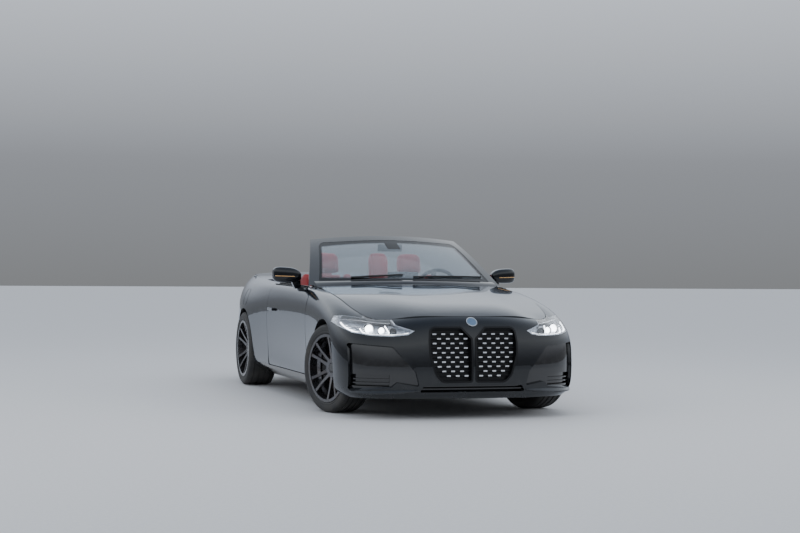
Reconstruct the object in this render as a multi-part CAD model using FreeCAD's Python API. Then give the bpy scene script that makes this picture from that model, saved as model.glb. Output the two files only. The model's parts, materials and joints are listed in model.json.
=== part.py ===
# A four-seat convertible car with its soft top stowed, built from separate panels, cabin pieces and wheels.
# Frame in millimetres: +Z up, the nose faces -Y, the car's left side is +X, the tyres stand on Z = 0.
import FreeCAD, Part
import math
import os
from FreeCAD import Vector

# Driving dimensions
length = 4768.0
wheelbase = 2851.0
front_overhang = 850.0
front_track = 1580.0
rear_track = 1588.0
tyre_radius = 331.0
front_tyre_width = 225.0
rear_tyre_width = 255.0
bead_radius = 241.0
flange_radius = 254.0
disc_radius = 174.0
steer_rest = 17.0
steering_ratio = 15.0
kingpin_inset = 75.0
front_arch = 366.0
rear_arch = 366.0
front_liner = 402.0
rear_liner = 372.0

# Wall thicknesses
panel_depth = 60.0
door_depth = 110.0
lid_depth = 22.0
lid_face_depth = 45.0
glass_depth = 5.0
plate = 20.0

# Clearances
gap = 5.0
seam = 0.3
running = 0.3

# Planes outside the body, where cutting prisms start and end
ahead = -2500.0
behind = 2500.0
beside = 1000.0

# Places worked out from the driving dimensions
nose_y = -length / 2
front_axle_y = nose_y + front_overhang
rear_axle_y = front_axle_y + wheelbase
kingpin_x = front_track / 2 - kingpin_inset
UP = Vector(0, 0, 1)
ACROSS = Vector(1, 0, 0)
ORIGIN = Vector(0, 0, 0)

os.makedirs("parts", exist_ok=True)


def export(name, *shapes):
    shape = shapes[0] if len(shapes) == 1 else Part.Compound(list(shapes))
    shape.exportStep("parts/" + name + ".step")


def mirrored(shape):
    return shape.mirror(ORIGIN, ACROSS)


def joined(shapes):
    return shapes[0].fuse(list(shapes[1:])).removeSplitter()


def clamped_knots(count):
    degree = min(3, count - 1)
    knots = [float(k) for k in range(count - degree + 1)]
    return degree, knots, [degree + 1] + [1] * (count - degree - 1) + [degree + 1]


def net_surface(net):
    """A cubic surface whose control points are the rows of the net."""
    surface = Part.BSplineSurface()
    u_degree, u_knots, u_mults = clamped_knots(len(net))
    v_degree, v_knots, v_mults = clamped_knots(len(net[0]))
    surface.buildFromPolesMultsKnots(
        net, u_mults, v_mults, u_knots, v_knots, False, False, u_degree, v_degree
    )
    return surface


def close_solid(faces):
    shell = Part.makeShell(faces)
    shell.sewShape()
    solid = Part.makeSolid(shell)
    if solid.Volume < 0:
        solid.reverse()
    return solid


def thick_skin(outer, inner):
    """A solid between two surfaces that share their parameters."""
    u0, u1, v0, v1 = outer.bounds()
    faces = [outer.toShape(), inner.toShape()]
    for value, iso in ((u0, "uIso"), (u1, "uIso"), (v0, "vIso"), (v1, "vIso")):
        a = getattr(outer, iso)(value).toShape()
        b = getattr(inner, iso)(value).toShape()
        faces.append(Part.makeRuledSurface(a, b))
    return close_solid(faces)


def box(x0, x1, y0, y1, z0, z1):
    return Part.makeBox(x1 - x0, y1 - y0, z1 - z0, Vector(x0, y0, z0))


def rod(radius, start, end):
    run = end - start
    return Part.makeCylinder(radius, run.Length, start, run)


def in_plane(plane, point, third):
    a, b = point
    if plane == "yz":
        return Vector(third, a, b)
    if plane == "xz":
        return Vector(a, third, b)
    return Vector(a, b, third)


PULL = {"yz": Vector(1, 0, 0), "xz": Vector(0, 1, 0), "xy": Vector(0, 0, 1)}


def corner_turn(before, corner, after):
    """Start, middle and end of the arc that rounds one corner (a, b, radius) of an outline."""
    place = Vector(corner[0], corner[1], 0)
    back = (Vector(before[0], before[1], 0) - place).normalize()
    ahead = (Vector(after[0], after[1], 0) - place).normalize()
    half = back.getAngle(ahead) / 2
    reach = corner[2] / math.tan(half)
    nearest = corner[2] / math.sin(half) - corner[2]
    return place + back * reach, place + (back + ahead).normalize() * nearest, place + ahead * reach


def outline_wire(points, plane, third):
    """A closed outline of corners (a, b), or (a, b, radius) where they are rounded."""
    if len(points[0]) == 2:
        places = [in_plane(plane, p, third) for p in points]
        return Part.makePolygon(places + places[:1])
    n = len(points)
    turns = [corner_turn(points[i - 1], points[i], points[(i + 1) % n]) for i in range(n)]
    edges = []
    for i, turn in enumerate(turns):
        start, middle, end = [in_plane(plane, (p.x, p.y), third) for p in turn]
        following = turns[(i + 1) % n][0]
        edges.append(Part.Arc(start, middle, end).toShape())
        edges.append(Part.makeLine(end, in_plane(plane, (following.x, following.y), third)))
    return Part.Wire(edges)


def prism(points, plane, start, end):
    """An outline in the plane of two axes, pulled along the third from start to end."""
    return Part.Face(outline_wire(points, plane, start)).extrude(PULL[plane] * (end - start))


def grown(points, amount):
    """An outline moved outward by an amount, corner by corner."""
    n = len(points)
    area = sum(points[i - 1][0] * points[i][1] - points[i][0] * points[i - 1][1] for i in range(n))
    way = 1.0 if area > 0 else -1.0
    result = []
    for i, corner in enumerate(points):
        a, b = corner[:2]
        before = points[i - 1]
        after = points[(i + 1) % n]
        n1 = Vector(b - before[1], before[0] - a, 0).normalize() * way
        n2 = Vector(after[1] - b, a - after[0], 0).normalize() * way
        middle = n1 + n2
        shift = middle * (amount * 2 / middle.dot(middle))
        moved = (a + shift.x, b + shift.y)
        if len(corner) == 3:
            outward = n1.cross(n2).z * way > 0
            moved += (max(corner[2] + (amount if outward else -amount), 1.0),)
        result.append(moved)
    return result


def turned(profile, centre, axis):
    """A closed outline of (along the axis, radius) points, turned a full round about the axis."""
    side = Vector(0, 0, 1)
    places = [centre + axis * a + side * r for a, r in profile]
    return Part.Face(Part.makePolygon(places + places[:1])).revolve(centre, axis, 360)


def softened(shape, radius):
    return shape.makeFillet(radius, shape.Edges)


# Bonnet heights. Rows run aft, columns run from the middle to the left wing.
BONNET_X = (0, 170, 330, 450, 560, 680, 800)
BONNET_ROWS = [
    (-2350, (690, 689, 684, 668, 634, 600, 566)),
    (-2270, (738, 737, 732, 708, 668, 634, 600)),
    (-2150, (786, 785, 780, 757, 708, 676, 646)),
    (-1950, (830, 829, 826, 812, 786, 752, 726)),
    (-1700, (868, 867, 866, 856, 841, 821, 798)),
    (-1450, (900, 899, 898, 889, 881, 872, 860)),
    (-1200, (924, 923, 923, 914, 907, 900, 890)),
    (-980, (946, 945, 945, 938, 931, 924, 914)),
    (-840, (959, 958, 958, 952, 946, 939, 930)),
]
# Rear deck heights, the same way.
DECK_X = (0, 250, 450, 600, 700, 820)
DECK_ROWS = [
    (960, (984, 982, 976, 968, 961, 950)),
    (1150, (992, 990, 985, 978, 971, 961)),
    (1400, (999, 998, 995, 990, 984, 975)),
    (1650, (1004, 1003, 1001, 997, 992, 984)),
    (1900, (1010, 1009, 1006, 1001, 996, 987)),
    (2130, (1016, 1014, 1011, 1005, 999, 990)),
    (2290, (1023, 1021, 1017, 1010, 1004, 995)),
    (2420, (1029, 1027, 1021, 1014, 1008, 999)),
]


def lid_net(columns, rows, drop=0.0):
    net = []
    for y, heights in rows:
        left = [Vector(x, y, z - drop) for x, z in zip(columns, heights)]
        right = [Vector(-p.x, p.y, p.z) for p in left[:0:-1]]
        net.append(right + left)
    return net


def height_on(surface, x, y):
    z = 900.0
    for _ in range(6):
        z = surface.value(*surface.parameter(Vector(x, y, z))).z
    return z


bonnet_top = net_surface(lid_net(BONNET_X, BONNET_ROWS))
deck_top = net_surface(lid_net(DECK_X, DECK_ROWS))

# Body side, as control posts set round the plan outline of the left half, from the nose to the tail.
# Columns: plan x, plan y, outward heading in degrees (0 ahead, 90 left, 180 astern), then the set-in and
# the height of nine levels: sill, rocker, low flank, mid flank, waist, shoulder, crest, roll, inner edge.
# LID is the height of the bonnet or the rear deck at that place.
LID = 0
POSTS = [
    (0, -2387, 0, (70, 15, 0, 4, 16, 34, 56, 88, 125), (150, 178, 300, 430, 540, 620, 680, 716, LID)),
    (180, -2387, 0, (70, 15, 0, 4, 16, 34, 56, 88, 125), (150, 178, 300, 430, 540, 620, 680, 716, LID)),
    (420, -2377, 8, (70, 15, 0, 4, 18, 40, 65, 102, 145), (150, 178, 300, 430, 540, 615, 668, 706, LID)),
    (680, -2295, 25, (70, 15, 0, 4, 18, 46, 84, 132, 178), (150, 178, 300, 430, 540, 608, 655, 690, LID)),
    (862, -2165, 50, (75, 15, 0, 4, 14, 46, 100, 162, 212), (150, 180, 300, 430, 535, 606, 655, 698, LID)),
    (928, -1965, 80, (90, 20, 0, 0, 6, 28, 75, 140, 205), (150, 185, 300, 430, 550, 636, 696, 738, LID)),
    (924, -1750, 90, (95, 20, 6, 2, 0, 10, 40, 100, 165), (150, 188, 300, 430, 580, 685, 750, 792, LID)),
    (916, -1534, 90, (95, 20, 10, 4, 0, 6, 30, 85, 150), (150, 190, 300, 430, 590, 710, 792, 836, LID)),
    (905, -1290, 90, (95, 18, 14, 8, 0, 4, 24, 70, 130), (150, 192, 300, 430, 600, 735, 830, 874, LID)),
    (894, -1020, 90, (92, 14, 20, 12, 0, 2, 20, 60, 118), (150, 195, 300, 430, 605, 750, 850, 903, LID)),
    (888, -650, 90, (90, 10, 24, 14, 0, 0, 20, 52, 112), (150, 198, 300, 430, 610, 758, 862, 922, 930)),
    (888, -150, 90, (90, 8, 26, 16, 0, 0, 20, 50, 110), (150, 200, 305, 430, 612, 762, 866, 930, 936)),
    (893, 350, 90, (92, 12, 24, 12, 0, 2, 26, 56, 116), (150, 202, 310, 435, 615, 765, 872, 936, 944)),
    (906, 760, 90, (98, 22, 20, 8, 0, 6, 38, 76, 136), (150, 205, 315, 440, 618, 768, 874, 938, 951)),
    (922, 1110, 90, (100, 30, 16, 4, 0, 14, 58, 108, 164), (160, 210, 320, 445, 622, 768, 872, 936, LID)),
    (927, 1400, 90, (100, 30, 10, 2, 0, 14, 58, 116, 176), (175, 225, 330, 450, 625, 768, 872, 938, LID)),
    (882, 1730, 96, (95, 25, 6, 0, 0, 8, 44, 104, 170), (190, 240, 340, 455, 625, 765, 872, 946, LID)),
    (814, 2010, 102, (90, 20, 4, 0, 2, 8, 34, 84, 150), (205, 255, 350, 460, 620, 760, 872, 952, LID)),
    (740, 2212, 124, (90, 18, 2, 0, 4, 18, 42, 80, 134), (220, 268, 360, 465, 615, 750, 870, 958, LID)),
    (575, 2330, 155, (95, 16, 0, 0, 6, 34, 56, 76, 118), (228, 280, 370, 470, 610, 740, 868, 966, LID)),
    (380, 2374, 171, (95, 15, 0, 0, 6, 38, 62, 76, 112), (230, 285, 375, 470, 610, 735, 866, 970, LID)),
    (180, 2385, 180, (95, 15, 0, 0, 6, 40, 64, 76, 110), (230, 285, 375, 470, 610, 735, 866, 972, LID)),
    (0, 2385, 180, (95, 15, 0, 0, 6, 40, 64, 76, 110), (230, 285, 375, 470, 610, 735, 866, 972, LID)),
]
# How much of each level's wall thickness points inward and how much downward.
WALL_WAY = [(1, 0), (1, 0), (1, 0), (1, 0), (1, 0), (1, 0), (0.85, 0.5), (0.45, 0.9), (0, 1)]
LAST_POST = len(POSTS) - 1


def post_points(x, y, heading, set_ins, heights):
    out = Vector(math.sin(math.radians(heading)), -math.cos(math.radians(heading)), 0)
    points = []
    for set_in, z in zip(set_ins, heights):
        place = Vector(x, y, z) - out * set_in
        if z == LID:
            lid = bonnet_top if y < 0 else deck_top
            place.z = height_on(lid, place.x, place.y)
        points.append(place)
    return out, points


POST_POINTS = [post_points(*post) for post in POSTS]


def ring_row(index, depth):
    """Control points of one post. Posts run on round the tail and the nose to the right side."""
    index = index % (2 * LAST_POST)
    side = 1
    if index > LAST_POST:
        index = 2 * LAST_POST - index
        side = -1
    out, points = POST_POINTS[index]
    row = []
    for place, (inward, down) in zip(points, WALL_WAY):
        moved = place - out * (depth * inward) - UP * (depth * down)
        row.append(Vector(side * moved.x, moved.y, moved.z))
    return row


def body_surface(first, last, depth=0.0):
    """The body's skin between two posts, this deep inside the paint."""
    start = math.floor(first) - 3
    end = math.ceil(last) + 3
    surface = net_surface([ring_row(i, depth) for i in range(start, end + 1)])
    v0, v1 = surface.bounds()[2:]
    surface.segment(first - start - 1.0, last - start - 1.0, v0, v1)
    return surface


def wall(first, last, depth, skip=0.0):
    """The body side between two posts, from skip to depth inside the skin."""
    return thick_skin(body_surface(first, last, skip), body_surface(first, last, depth))


def edge_points(first, last, inset, count):
    """The inner edge of the body side in plan, moved toward the lid by inset."""
    surface = body_surface(first, last)
    u0, u1, v0, v1 = surface.bounds()
    curve = surface.vIso(v1)
    points = []
    for k in range(count + 1):
        u = u0 + (u1 - u0) * k / count
        place = curve.value(u)
        along = curve.tangent(u)[0]
        points.append((place.x - along.y * inset, place.y + along.x * inset))
    return points


def inner_edge_x(y):
    """How far out the inner edge of the body side lies at a station."""
    points = edge_points(7, 18, 0, 88)
    for (x0, y0), (x1, y1) in zip(points, points[1:]):
        if y0 <= y <= y1:
            return x0 + (x1 - x0) * (y - y0) / (y1 - y0)


def plan_prism(sides, z0, z1):
    """A vertical prism whose sides are splines through lists of plan points, joined end to end."""
    edges = []
    for points in sides:
        places = [Vector(x, y, z0) for x, y in points]
        if len(places) == 2:
            edges.append(Part.makeLine(places[0], places[1]))
        else:
            curve = Part.BSplineCurve()
            curve.interpolate(Points=places)
            edges.append(curve.toShape())
    return Part.Face(Part.Wire(Part.__sortEdges__(edges))).extrude(UP * (z1 - z0))


def lid_slab(columns, rows, top, bottom):
    return thick_skin(net_surface(lid_net(columns, rows, top)), net_surface(lid_net(columns, rows, bottom)))


# Panel boundaries
bumper_y = -1880.0
door_front_y = -930.0
door_rear_y = 430.0
sill_top = 235.0
rear_bumper_y = 1695.0
rear_bumper_top = 640.0
boot_face_x = 560.0
tonneau_front_y = 1050.0
boot_front_y = 1578.0
bonnet_corner_y = -872.0
bonnet_middle_y = -950.0

# Door outline from the side. At its top the shut line turns back under a tongue of the wing.
door_tongue_z = 850.0
DOOR = [
    (door_front_y, 242), (395, 242), (door_rear_y - 6, 320), (door_rear_y, 500), (door_rear_y + 8, 700),
    (door_rear_y - 5, 1000), (-848, 1000), (-852, 905), (-862, door_tongue_z + 18),
    (door_front_y, door_tongue_z),
]
# Lamp outline from the front. Between its two highest points it runs up past the bonnet's edge.
LAMP = [
    (425, 636), (473, 609), (586, 596), (721, 600), (829, 616), (887, 657), (905, 690), (905, 728),
    (837, 737), (724, 724), (702, 780), (572, 780), (548, 678),
]
lamp_end_y = -1765.0
TAIL_LAMP = [(575, 745), (640, 738), (960, 735), (960, 838), (640, 848), (575, 846)]
LID_LAMP = [(330, 752), (boot_face_x - gap, 746), (boot_face_x - gap, 848), (420, 850), (345, 800)]
tail_lamp_start_y = 2010.0
tail_y = 2000.0
quarter_ceiling = 1100.0
lid_ceiling = 1200.0
# Openings of the nose from the front, as corners: x, z and the radius of the corner.
KIDNEY = [
    (9, 268, 22), (240, 266, 60), (292, 320, 90), (336, 470, 200), (338, 560, 150), (325, 668, 48),
    (88, 668, 18), (9, 585, 12),
]
INTAKE = [
    (868, 545, 14), (588, 524, 18), (430, 345, 36), (402, 240, 12), (563, 268, 8), (600, 232, 8),
    (860, 205, 20),
]
intake_end_y = -1950.0
nose_opening_end_y = -2200.0
bumper_ceiling = 1000.0
LOWER_SLOT = [(-400, 200, 8), (400, 200, 8), (372, 246, 12), (-372, 246, 12)]


def wheel_well(axle_y, radius, x0, x1):
    return rod(radius, Vector(x0, axle_y, tyre_radius), Vector(x1, axle_y, tyre_radius))


def right_outline(points):
    return [(-p[0],) + tuple(p[1:]) for p in points]


def pair_of(points, plane, start, end):
    return [prism(points, plane, start, end), prism(right_outline(points), plane, start, end)]


front_well = wheel_well(front_axle_y, front_arch, 600, 1000)
rear_well = wheel_well(rear_axle_y, rear_arch, 600, 1000)
door_opening = prism(grown(DOOR, gap), "yz", 600, 1000)


def lamp_prisms(grow):
    return pair_of(grown(LAMP, grow), "xz", ahead, lamp_end_y + grow)


# Front bumper, one skin round the nose
def front_bumper():
    shell = wall(-7, 7, panel_depth).common(box(-beside, beside, ahead, bumper_y, 0, bumper_ceiling))
    cuts = lamp_prisms(seam) + pair_of(grown(KIDNEY, seam), "xz", ahead, nose_opening_end_y)
    cuts += pair_of(INTAKE, "xz", ahead, intake_end_y)
    cuts.append(prism(LOWER_SLOT, "xz", ahead, nose_opening_end_y))
    cuts += [front_well, mirrored(front_well)]
    return max(shell.cut(cuts).Solids, key=lambda solid: solid.Volume)


vent_low = 240.0
vent_high = 324.0
vent_inner_x = 604.0
vent_outer_x = 838.0
vent_slat = 9.0
vent_slat_pitch = 27.0
vent_shelf_x = (380.0, 900.0)
insert_face_depth = 26.0
insert_face = 12.0
# The posts between which the nose's inserts follow the skin, and how far a rib reaches into each plate.
INSERT_POSTS = (1, 6.4)
SLOT_POSTS = (-4, 4)
rib_bite = 4.0
slot_bar_half = 420.0
slot_bar_low = 218.0


def intake_inserts():
    """A face across each corner recess with a slatted vent low down, and the back of the lower slot."""
    outline = prism(grown(INTAKE, -seam), "xz", ahead, intake_end_y)
    face_back = insert_face_depth + insert_face
    face = wall(*INSERT_POSTS, face_back, insert_face_depth).common(outline)
    vent = box(vent_inner_x, vent_outer_x, ahead, intake_end_y, vent_low, vent_high)
    back = wall(*INSERT_POSTS, panel_depth, panel_depth - insert_face).common(outline)
    bars = [box(*vent_shelf_x, ahead, intake_end_y, vent_high, vent_high + insert_face)]
    inner_x = vent_inner_x - rib_bite
    outer_x = vent_outer_x + rib_bite
    for slat in (1, 2):
        z = vent_low + slat * vent_slat_pitch
        bars.append(box(inner_x, outer_x, ahead, intake_end_y, z - vent_slat, z))
    between = wall(*INSERT_POSTS, panel_depth - rib_bite, insert_face_depth + rib_bite)
    ribs = between.common(Part.Compound(bars)).common(outline)
    left = joined([face.cut(vent), back] + ribs.Solids)
    slot = prism(grown(LOWER_SLOT, -seam), "xz", ahead, nose_opening_end_y)
    slot_back = wall(*SLOT_POSTS, panel_depth, panel_depth - insert_face).common(slot)
    bar_top = slot_bar_low + vent_slat
    level = box(-slot_bar_half, slot_bar_half, ahead, nose_opening_end_y, slot_bar_low, bar_top)
    bar = wall(*SLOT_POSTS, panel_depth - rib_bite, insert_face_depth).common(slot).common(level)
    return left, mirrored(left), joined([slot_back] + bar.Solids)


grille_proud = 4.0
grille_frame_width = 13.0
grille_start_y = -2430.0
grille_end_y = -2250.0
grille_frame_end_y = -2270.0


def kidney_frame():
    """The surround of one kidney opening: a ring that follows the bumper and stands proud of it."""
    opening = prism(grown(KIDNEY, -grille_frame_width), "xz", grille_start_y, grille_end_y)
    ring = prism(KIDNEY, "xz", grille_start_y, grille_frame_end_y).cut(opening)
    return wall(-3, 3, panel_depth, -grille_proud).common(ring)


grille_rows = 12
grille_row_pitch = 33.0
grille_low_z = 284.0
grille_stud_pitch = 67.0
grille_stud = (28.0, 10.0, 10.0)
grille_bar = 6.0
grille_bar_depth = 20.0
grille_low_y = -2366.0
grille_lean = 0.115
grille_half = 360.0
grille_columns = 6
first_stud_x = 22.0
stud_margin = 22.0
least_stud = 0.6
GRILLE_PLATE_Z = (250.0, 700.0)


def kidney_mesh():
    """Thin bars in rows on a leaning back plate, and the small studs that stand on them, staggered."""
    field = prism(grown(KIDNEY, -grille_frame_width - seam), "xz", grille_start_y, grille_end_y)
    bars = []
    studs = []
    w, h, d = grille_stud
    for row in range(grille_rows):
        z = grille_low_z + row * grille_row_pitch
        y = grille_low_y + (z - grille_low_z) * grille_lean
        bar_end = y + grille_bar_depth + 2
        bars.append(box(0, grille_half, y, bar_end, z - grille_bar / 2, z + grille_bar / 2))
        for column in range(grille_columns):
            x = first_stud_x + (column + 0.5 * (row % 2)) * grille_stud_pitch
            studs.append(box(x - w / 2, x + w / 2, y - d, y, z - h / 2, z + h / 2))
    low_z, high_z = GRILLE_PLATE_Z
    low, high = [grille_low_y + grille_bar_depth + (z - grille_low_z) * grille_lean for z in GRILLE_PLATE_Z]
    plate_outline = [(low, low_z), (low + grille_bar, low_z), (high + grille_bar, high_z), (high, high_z)]
    back = prism(plate_outline, "yz", 0, grille_half)
    mesh = joined([back.common(field)] + [bar.common(field) for bar in bars])
    small = prism(grown(KIDNEY, -stud_margin), "xz", grille_start_y, grille_end_y)
    whole = [stud.common(small) for stud in studs]
    full = studs[0].Volume * least_stud
    return mesh, [stud for stud in whole if stud.Volume > full]


def fender():
    shell = wall(2, 11, panel_depth).common(box(0, 1000, -2300, -700, 0, 1000))
    bumper_space = box(0, 1000, -2400, bumper_y + seam, 0, 700)
    shell = shell.cut([front_well, door_opening, lamp_prisms(seam)[0], bumper_space])
    sill_space = box(600, 1000, -1400, -600, 0, sill_top + seam)
    pin_foot = Vector(door_pin_x, door_pin_y, 0)
    swing = rod(door_reach, pin_foot, pin_foot + UP * door_tongue_z)
    slots = [lug(z, lug_room) for z in LUG_HEIGHTS]
    shell = shell.cut([sill_space, swing, box(600, 1000, door_front_y - gap, -600, 0, 400)] + slots)
    return max(shell.Solids, key=lambda solid: solid.Volume)


# Hinge pins of the two lids. The boot's lie well behind its front edge, so the edge dips as the lid opens.
bonnet_half = inner_edge_x(bonnet_corner_y) - gap
bonnet_pin_y = bonnet_corner_y - 9
bonnet_pin_z = height_on(bonnet_top, bonnet_half, bonnet_pin_y) - 10
boot_pin_set_back = 40.0
boot_gap = 11.0
boot_pin_y = boot_front_y + boot_pin_set_back
boot_edge_x = inner_edge_x(boot_pin_y)
boot_pin_z = height_on(deck_top, boot_edge_x, boot_pin_y) - 8
pin_radius = 4.0


def bonnet_rear(x):
    share = (x / bonnet_half) ** 2
    return bonnet_middle_y + (bonnet_corner_y - bonnet_middle_y) * share


def bonnet():
    skin = lid_slab(BONNET_X, BONNET_ROWS, 0, lid_depth)
    side = [p for p in edge_points(-9.7, 9.7, gap, 50) if p[1] < bonnet_corner_y - 25]
    side = [(-bonnet_half, bonnet_corner_y)] + side + [(bonnet_half, bonnet_corner_y)]
    rear = [(bonnet_half * k / 4, bonnet_rear(bonnet_half * k / 4)) for k in range(4, -5, -1)]
    return skin.common(plan_prism([side, rear], 400, lid_ceiling))


def pin_across(x0, x1, y, z):
    return rod(pin_radius, Vector(x0, y, z), Vector(x1, y, z))


def bore_across(x0, x1, y, z):
    return rod(pin_radius + running, Vector(x0, y, z), Vector(x1, y, z))


def quarter():
    """The rear wing, from the door to the tail lamp, above the rear bumper."""
    shell = wall(11, 21, panel_depth).common(box(0, beside, door_rear_y - 60, behind, 0, quarter_ceiling))
    bumper_space = box(0, beside, rear_bumper_y - seam, behind, 0, rear_bumper_top + seam)
    lid_space = box(0, boot_face_x + gap, tail_y, behind, 0, quarter_ceiling)
    sill_space = box(600, beside, 0, 1100, 0, sill_top + seam)
    lamp_space = prism(grown(TAIL_LAMP, seam), "xz", tail_lamp_start_y - seam, behind)
    low_front = box(600, beside, 0, door_rear_y + gap, 0, 400)
    shell = shell.cut([bumper_space, lid_space, sill_space, lamp_space, rear_well, door_opening, low_front])
    body = max(shell.Solids, key=lambda solid: solid.Volume)
    return body.fuse(pin_across(boot_edge_x - 16, boot_edge_x + 30, boot_pin_y, boot_pin_z))


def rear_bumper():
    shell = wall(15, 2 * LAST_POST - 15, panel_depth)
    shell = shell.common(box(-beside, beside, rear_bumper_y, behind, 0, rear_bumper_top))
    tips = [rod(exhaust_radius + exhaust_room, Vector(x, 2140, exhaust_z), Vector(x, behind, exhaust_z))
            for x in (-exhaust_x, exhaust_x)]
    return shell.cut(tips + [rear_well, mirrored(rear_well)])


def tail_lamps():
    outer = wall(16, 20, panel_depth).common(prism(TAIL_LAMP, "xz", tail_lamp_start_y, behind))
    return max(outer.Solids, key=lambda solid: solid.Volume)


def trimmed_run(points, low_y, high_y):
    """The part of a run of plan points, fore to aft, that lies between two stations."""
    run = []
    for (x0, y0), (x1, y1) in zip(points, points[1:]):
        for end in (low_y, high_y):
            if y0 < end <= y1:
                run.append((x0 + (x1 - x0) * (end - y0) / (y1 - y0), end))
        if low_y < y1 < high_y:
            run.append((x1, y1))
    return run


def boot_lid():
    """The lid's top and its rear face, which meet along the lip."""
    last = 2 * LAST_POST - 15
    side = [p for p in edge_points(15, last, gap, 70) if p[1] > boot_front_y + gap]
    corners = [(side[-1][0], boot_front_y), (side[0][0], boot_front_y)]
    outline = [side, [side[-1], corners[0]], corners, [corners[1], side[0]]]
    top = lid_slab(DECK_X, DECK_ROWS, 0, lid_depth).common(plan_prism(outline, 800, lid_ceiling))
    bore = bore_across(boot_edge_x - 30, boot_edge_x + 10, boot_pin_y, boot_pin_z)
    bores = [bore, mirrored(bore)]
    face = wall(18.5, 2 * LAST_POST - 18.5, lid_face_depth)
    face = face.common(box(-boot_face_x, boot_face_x, tail_y, behind, rear_bumper_top + gap, lid_ceiling))
    return top.cut(bores), face.cut(pair_of(grown(LID_LAMP, seam), "xz", tail_y, behind))


def lid_lamps():
    left = wall(19, 21.8, lid_face_depth).common(prism(LID_LAMP, "xz", tail_y, behind))
    return left, mirrored(left)


def tonneau_cover():
    left = trimmed_run(edge_points(13.5, 16.0, 2 * seam, 40), tonneau_front_y, boot_front_y - boot_gap)
    right = right_outline(left)[::-1]
    outline = [left, [left[-1], right[0]], right, [right[-1], left[0]]]
    return lid_slab(DECK_X, DECK_ROWS, 0, lid_depth).common(plan_prism(outline, 800, lid_ceiling))


# Cowl and windscreen
# Columns: distance behind the bonnet's rear edge and height, both at the middle.
COWL_ROWS = [(-40, 894), (10, 902), (48, 930), (80, 965), (120, 986), (190, 991)]
cowl_half = 762.0
cowl_spread = 0.5
cowl_fall = 14.0


def cowl_net(lift):
    net = []
    for offset, z in COWL_ROWS:
        row = []
        for share in (-1, -0.7, -0.35, 0, 0.35, 0.7, 1):
            x = share * cowl_half
            behind = offset * (1 + cowl_spread * share * share)
            row.append(Vector(x, bonnet_rear(x) + behind, z - cowl_fall * share * share + lift))
        net.append(row)
    return net


def above_cowl():
    """The room over the cowl's underside, which what stands below it leaves free."""
    return thick_skin(net_surface(cowl_net(200)), net_surface(cowl_net(-plate - seam)))


def below_cowl():
    return thick_skin(net_surface(cowl_net(seam)), net_surface(cowl_net(-200)))


def cowl():
    return thick_skin(net_surface(cowl_net(0)), net_surface(cowl_net(-plate)))


screen_base_half = 797.0
screen_top_half = 634.0
SCREEN_ROWS = [
    # Share of the height, middle y, middle z, edge y, edge z
    (-0.12, -897, 939, -733, 925),
    (0.33, -600, 1135, -485, 1094),
    (0.68, -372, 1262, -266, 1222),
    (1.0, -150, 1349, -46, 1311),
]
SCREEN_SHARES = (-1, -0.82, -0.45, 0, 0.45, 0.82, 1)
SCREEN_IN = Vector(0, 0.45, -0.89)


def screen_net(depth):
    net = []
    for height, middle_y, middle_z, edge_y, edge_z in SCREEN_ROWS:
        half = screen_base_half + (screen_top_half - screen_base_half) * height
        row = []
        for share in SCREEN_SHARES:
            bend = abs(share) ** 2.2
            y = middle_y + (edge_y - middle_y) * bend
            z = middle_z + (edge_z - middle_z) * bend
            row.append(Vector(share * half, y, z) + SCREEN_IN * depth)
        net.append(row)
    return net


# The glass from the front, as corners: x, z and the radius of the corner.
GLASS_OUTLINE = [(-755, 890, 4), (755, 890, 4), (590, 1284, 80), (0, 1320, 5000), (-590, 1284, 80)]
frame_depth = 48.0
glass_set_in = 2.0
GLASS_RUN = (-1100.0, 100.0)
# The door's shoulder rises a little toward the frame's foot in the first part of its swing.
foot_clearance = 15.0


def door_shoulders():
    """The room of both doors and wings that the frame's feet and the glass stay clear of."""
    above = wall(8.2, 12.5, door_depth, -foot_clearance)
    inboard = above.copy()
    inboard.translate(Vector(-gap, 0, 0))
    return [above, inboard, mirrored(above), mirrored(inboard)]


def screen_frame():
    """Two pillars and the header. The feet stand on the cowl and clear the doors' shoulders."""
    shell = thick_skin(net_surface(screen_net(0)), net_surface(screen_net(frame_depth)))
    shell = shell.cut(prism(GLASS_OUTLINE, "xz", *GLASS_RUN))
    shell = shell.cut([below_cowl()] + door_shoulders())
    return max(shell.Solids, key=lambda solid: solid.Volume)


def screen_glass():
    outer = net_surface(screen_net(glass_set_in))
    inner = net_surface(screen_net(glass_set_in + glass_depth))
    shell = thick_skin(outer, inner).common(prism(grown(GLASS_OUTLINE, -seam), "xz", *GLASS_RUN))
    shell = shell.cut([below_cowl()] + door_shoulders())
    return max(shell.Solids, key=lambda solid: solid.Volume)


# Doors
door_pin_x = 868.0
door_pin_y = -910.0
door_swing = 65.0
door_reach = 34.0
lug_half = 8.0
lug_depth = 12.0
lug_heading = 216.0
LUG_HEIGHTS = (360.0, 620.0)
hinge_pin = 5.0
hinge_pin_over = 36.0
lug_reach = 74.0
lug_room = 3.0
swing_steps = 6
# The slot in each door that its side window drops into
WINDOW_SLOT = (806, 818, -700, 330, 860, 1000)


def lug(z, grow):
    """A flat lug from the hinge post to the door's pin, with a round end, grown for its slot."""
    start = Vector(door_pin_x, door_pin_y, z - lug_depth / 2 - grow)
    half = lug_half + grow
    strip = Part.makeBox(lug_reach, 2 * half, lug_depth + 2 * grow, start - Vector(0, half, 0))
    strip.rotate(start, UP, lug_heading)
    return strip.fuse(Part.makeCylinder(half, lug_depth + 2 * grow, start))


def door_pin(z, grow):
    tall = lug_depth + hinge_pin_over + 2 * grow
    return Part.makeCylinder(hinge_pin + grow, tall, Vector(door_pin_x, door_pin_y, z - tall / 2))


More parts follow.
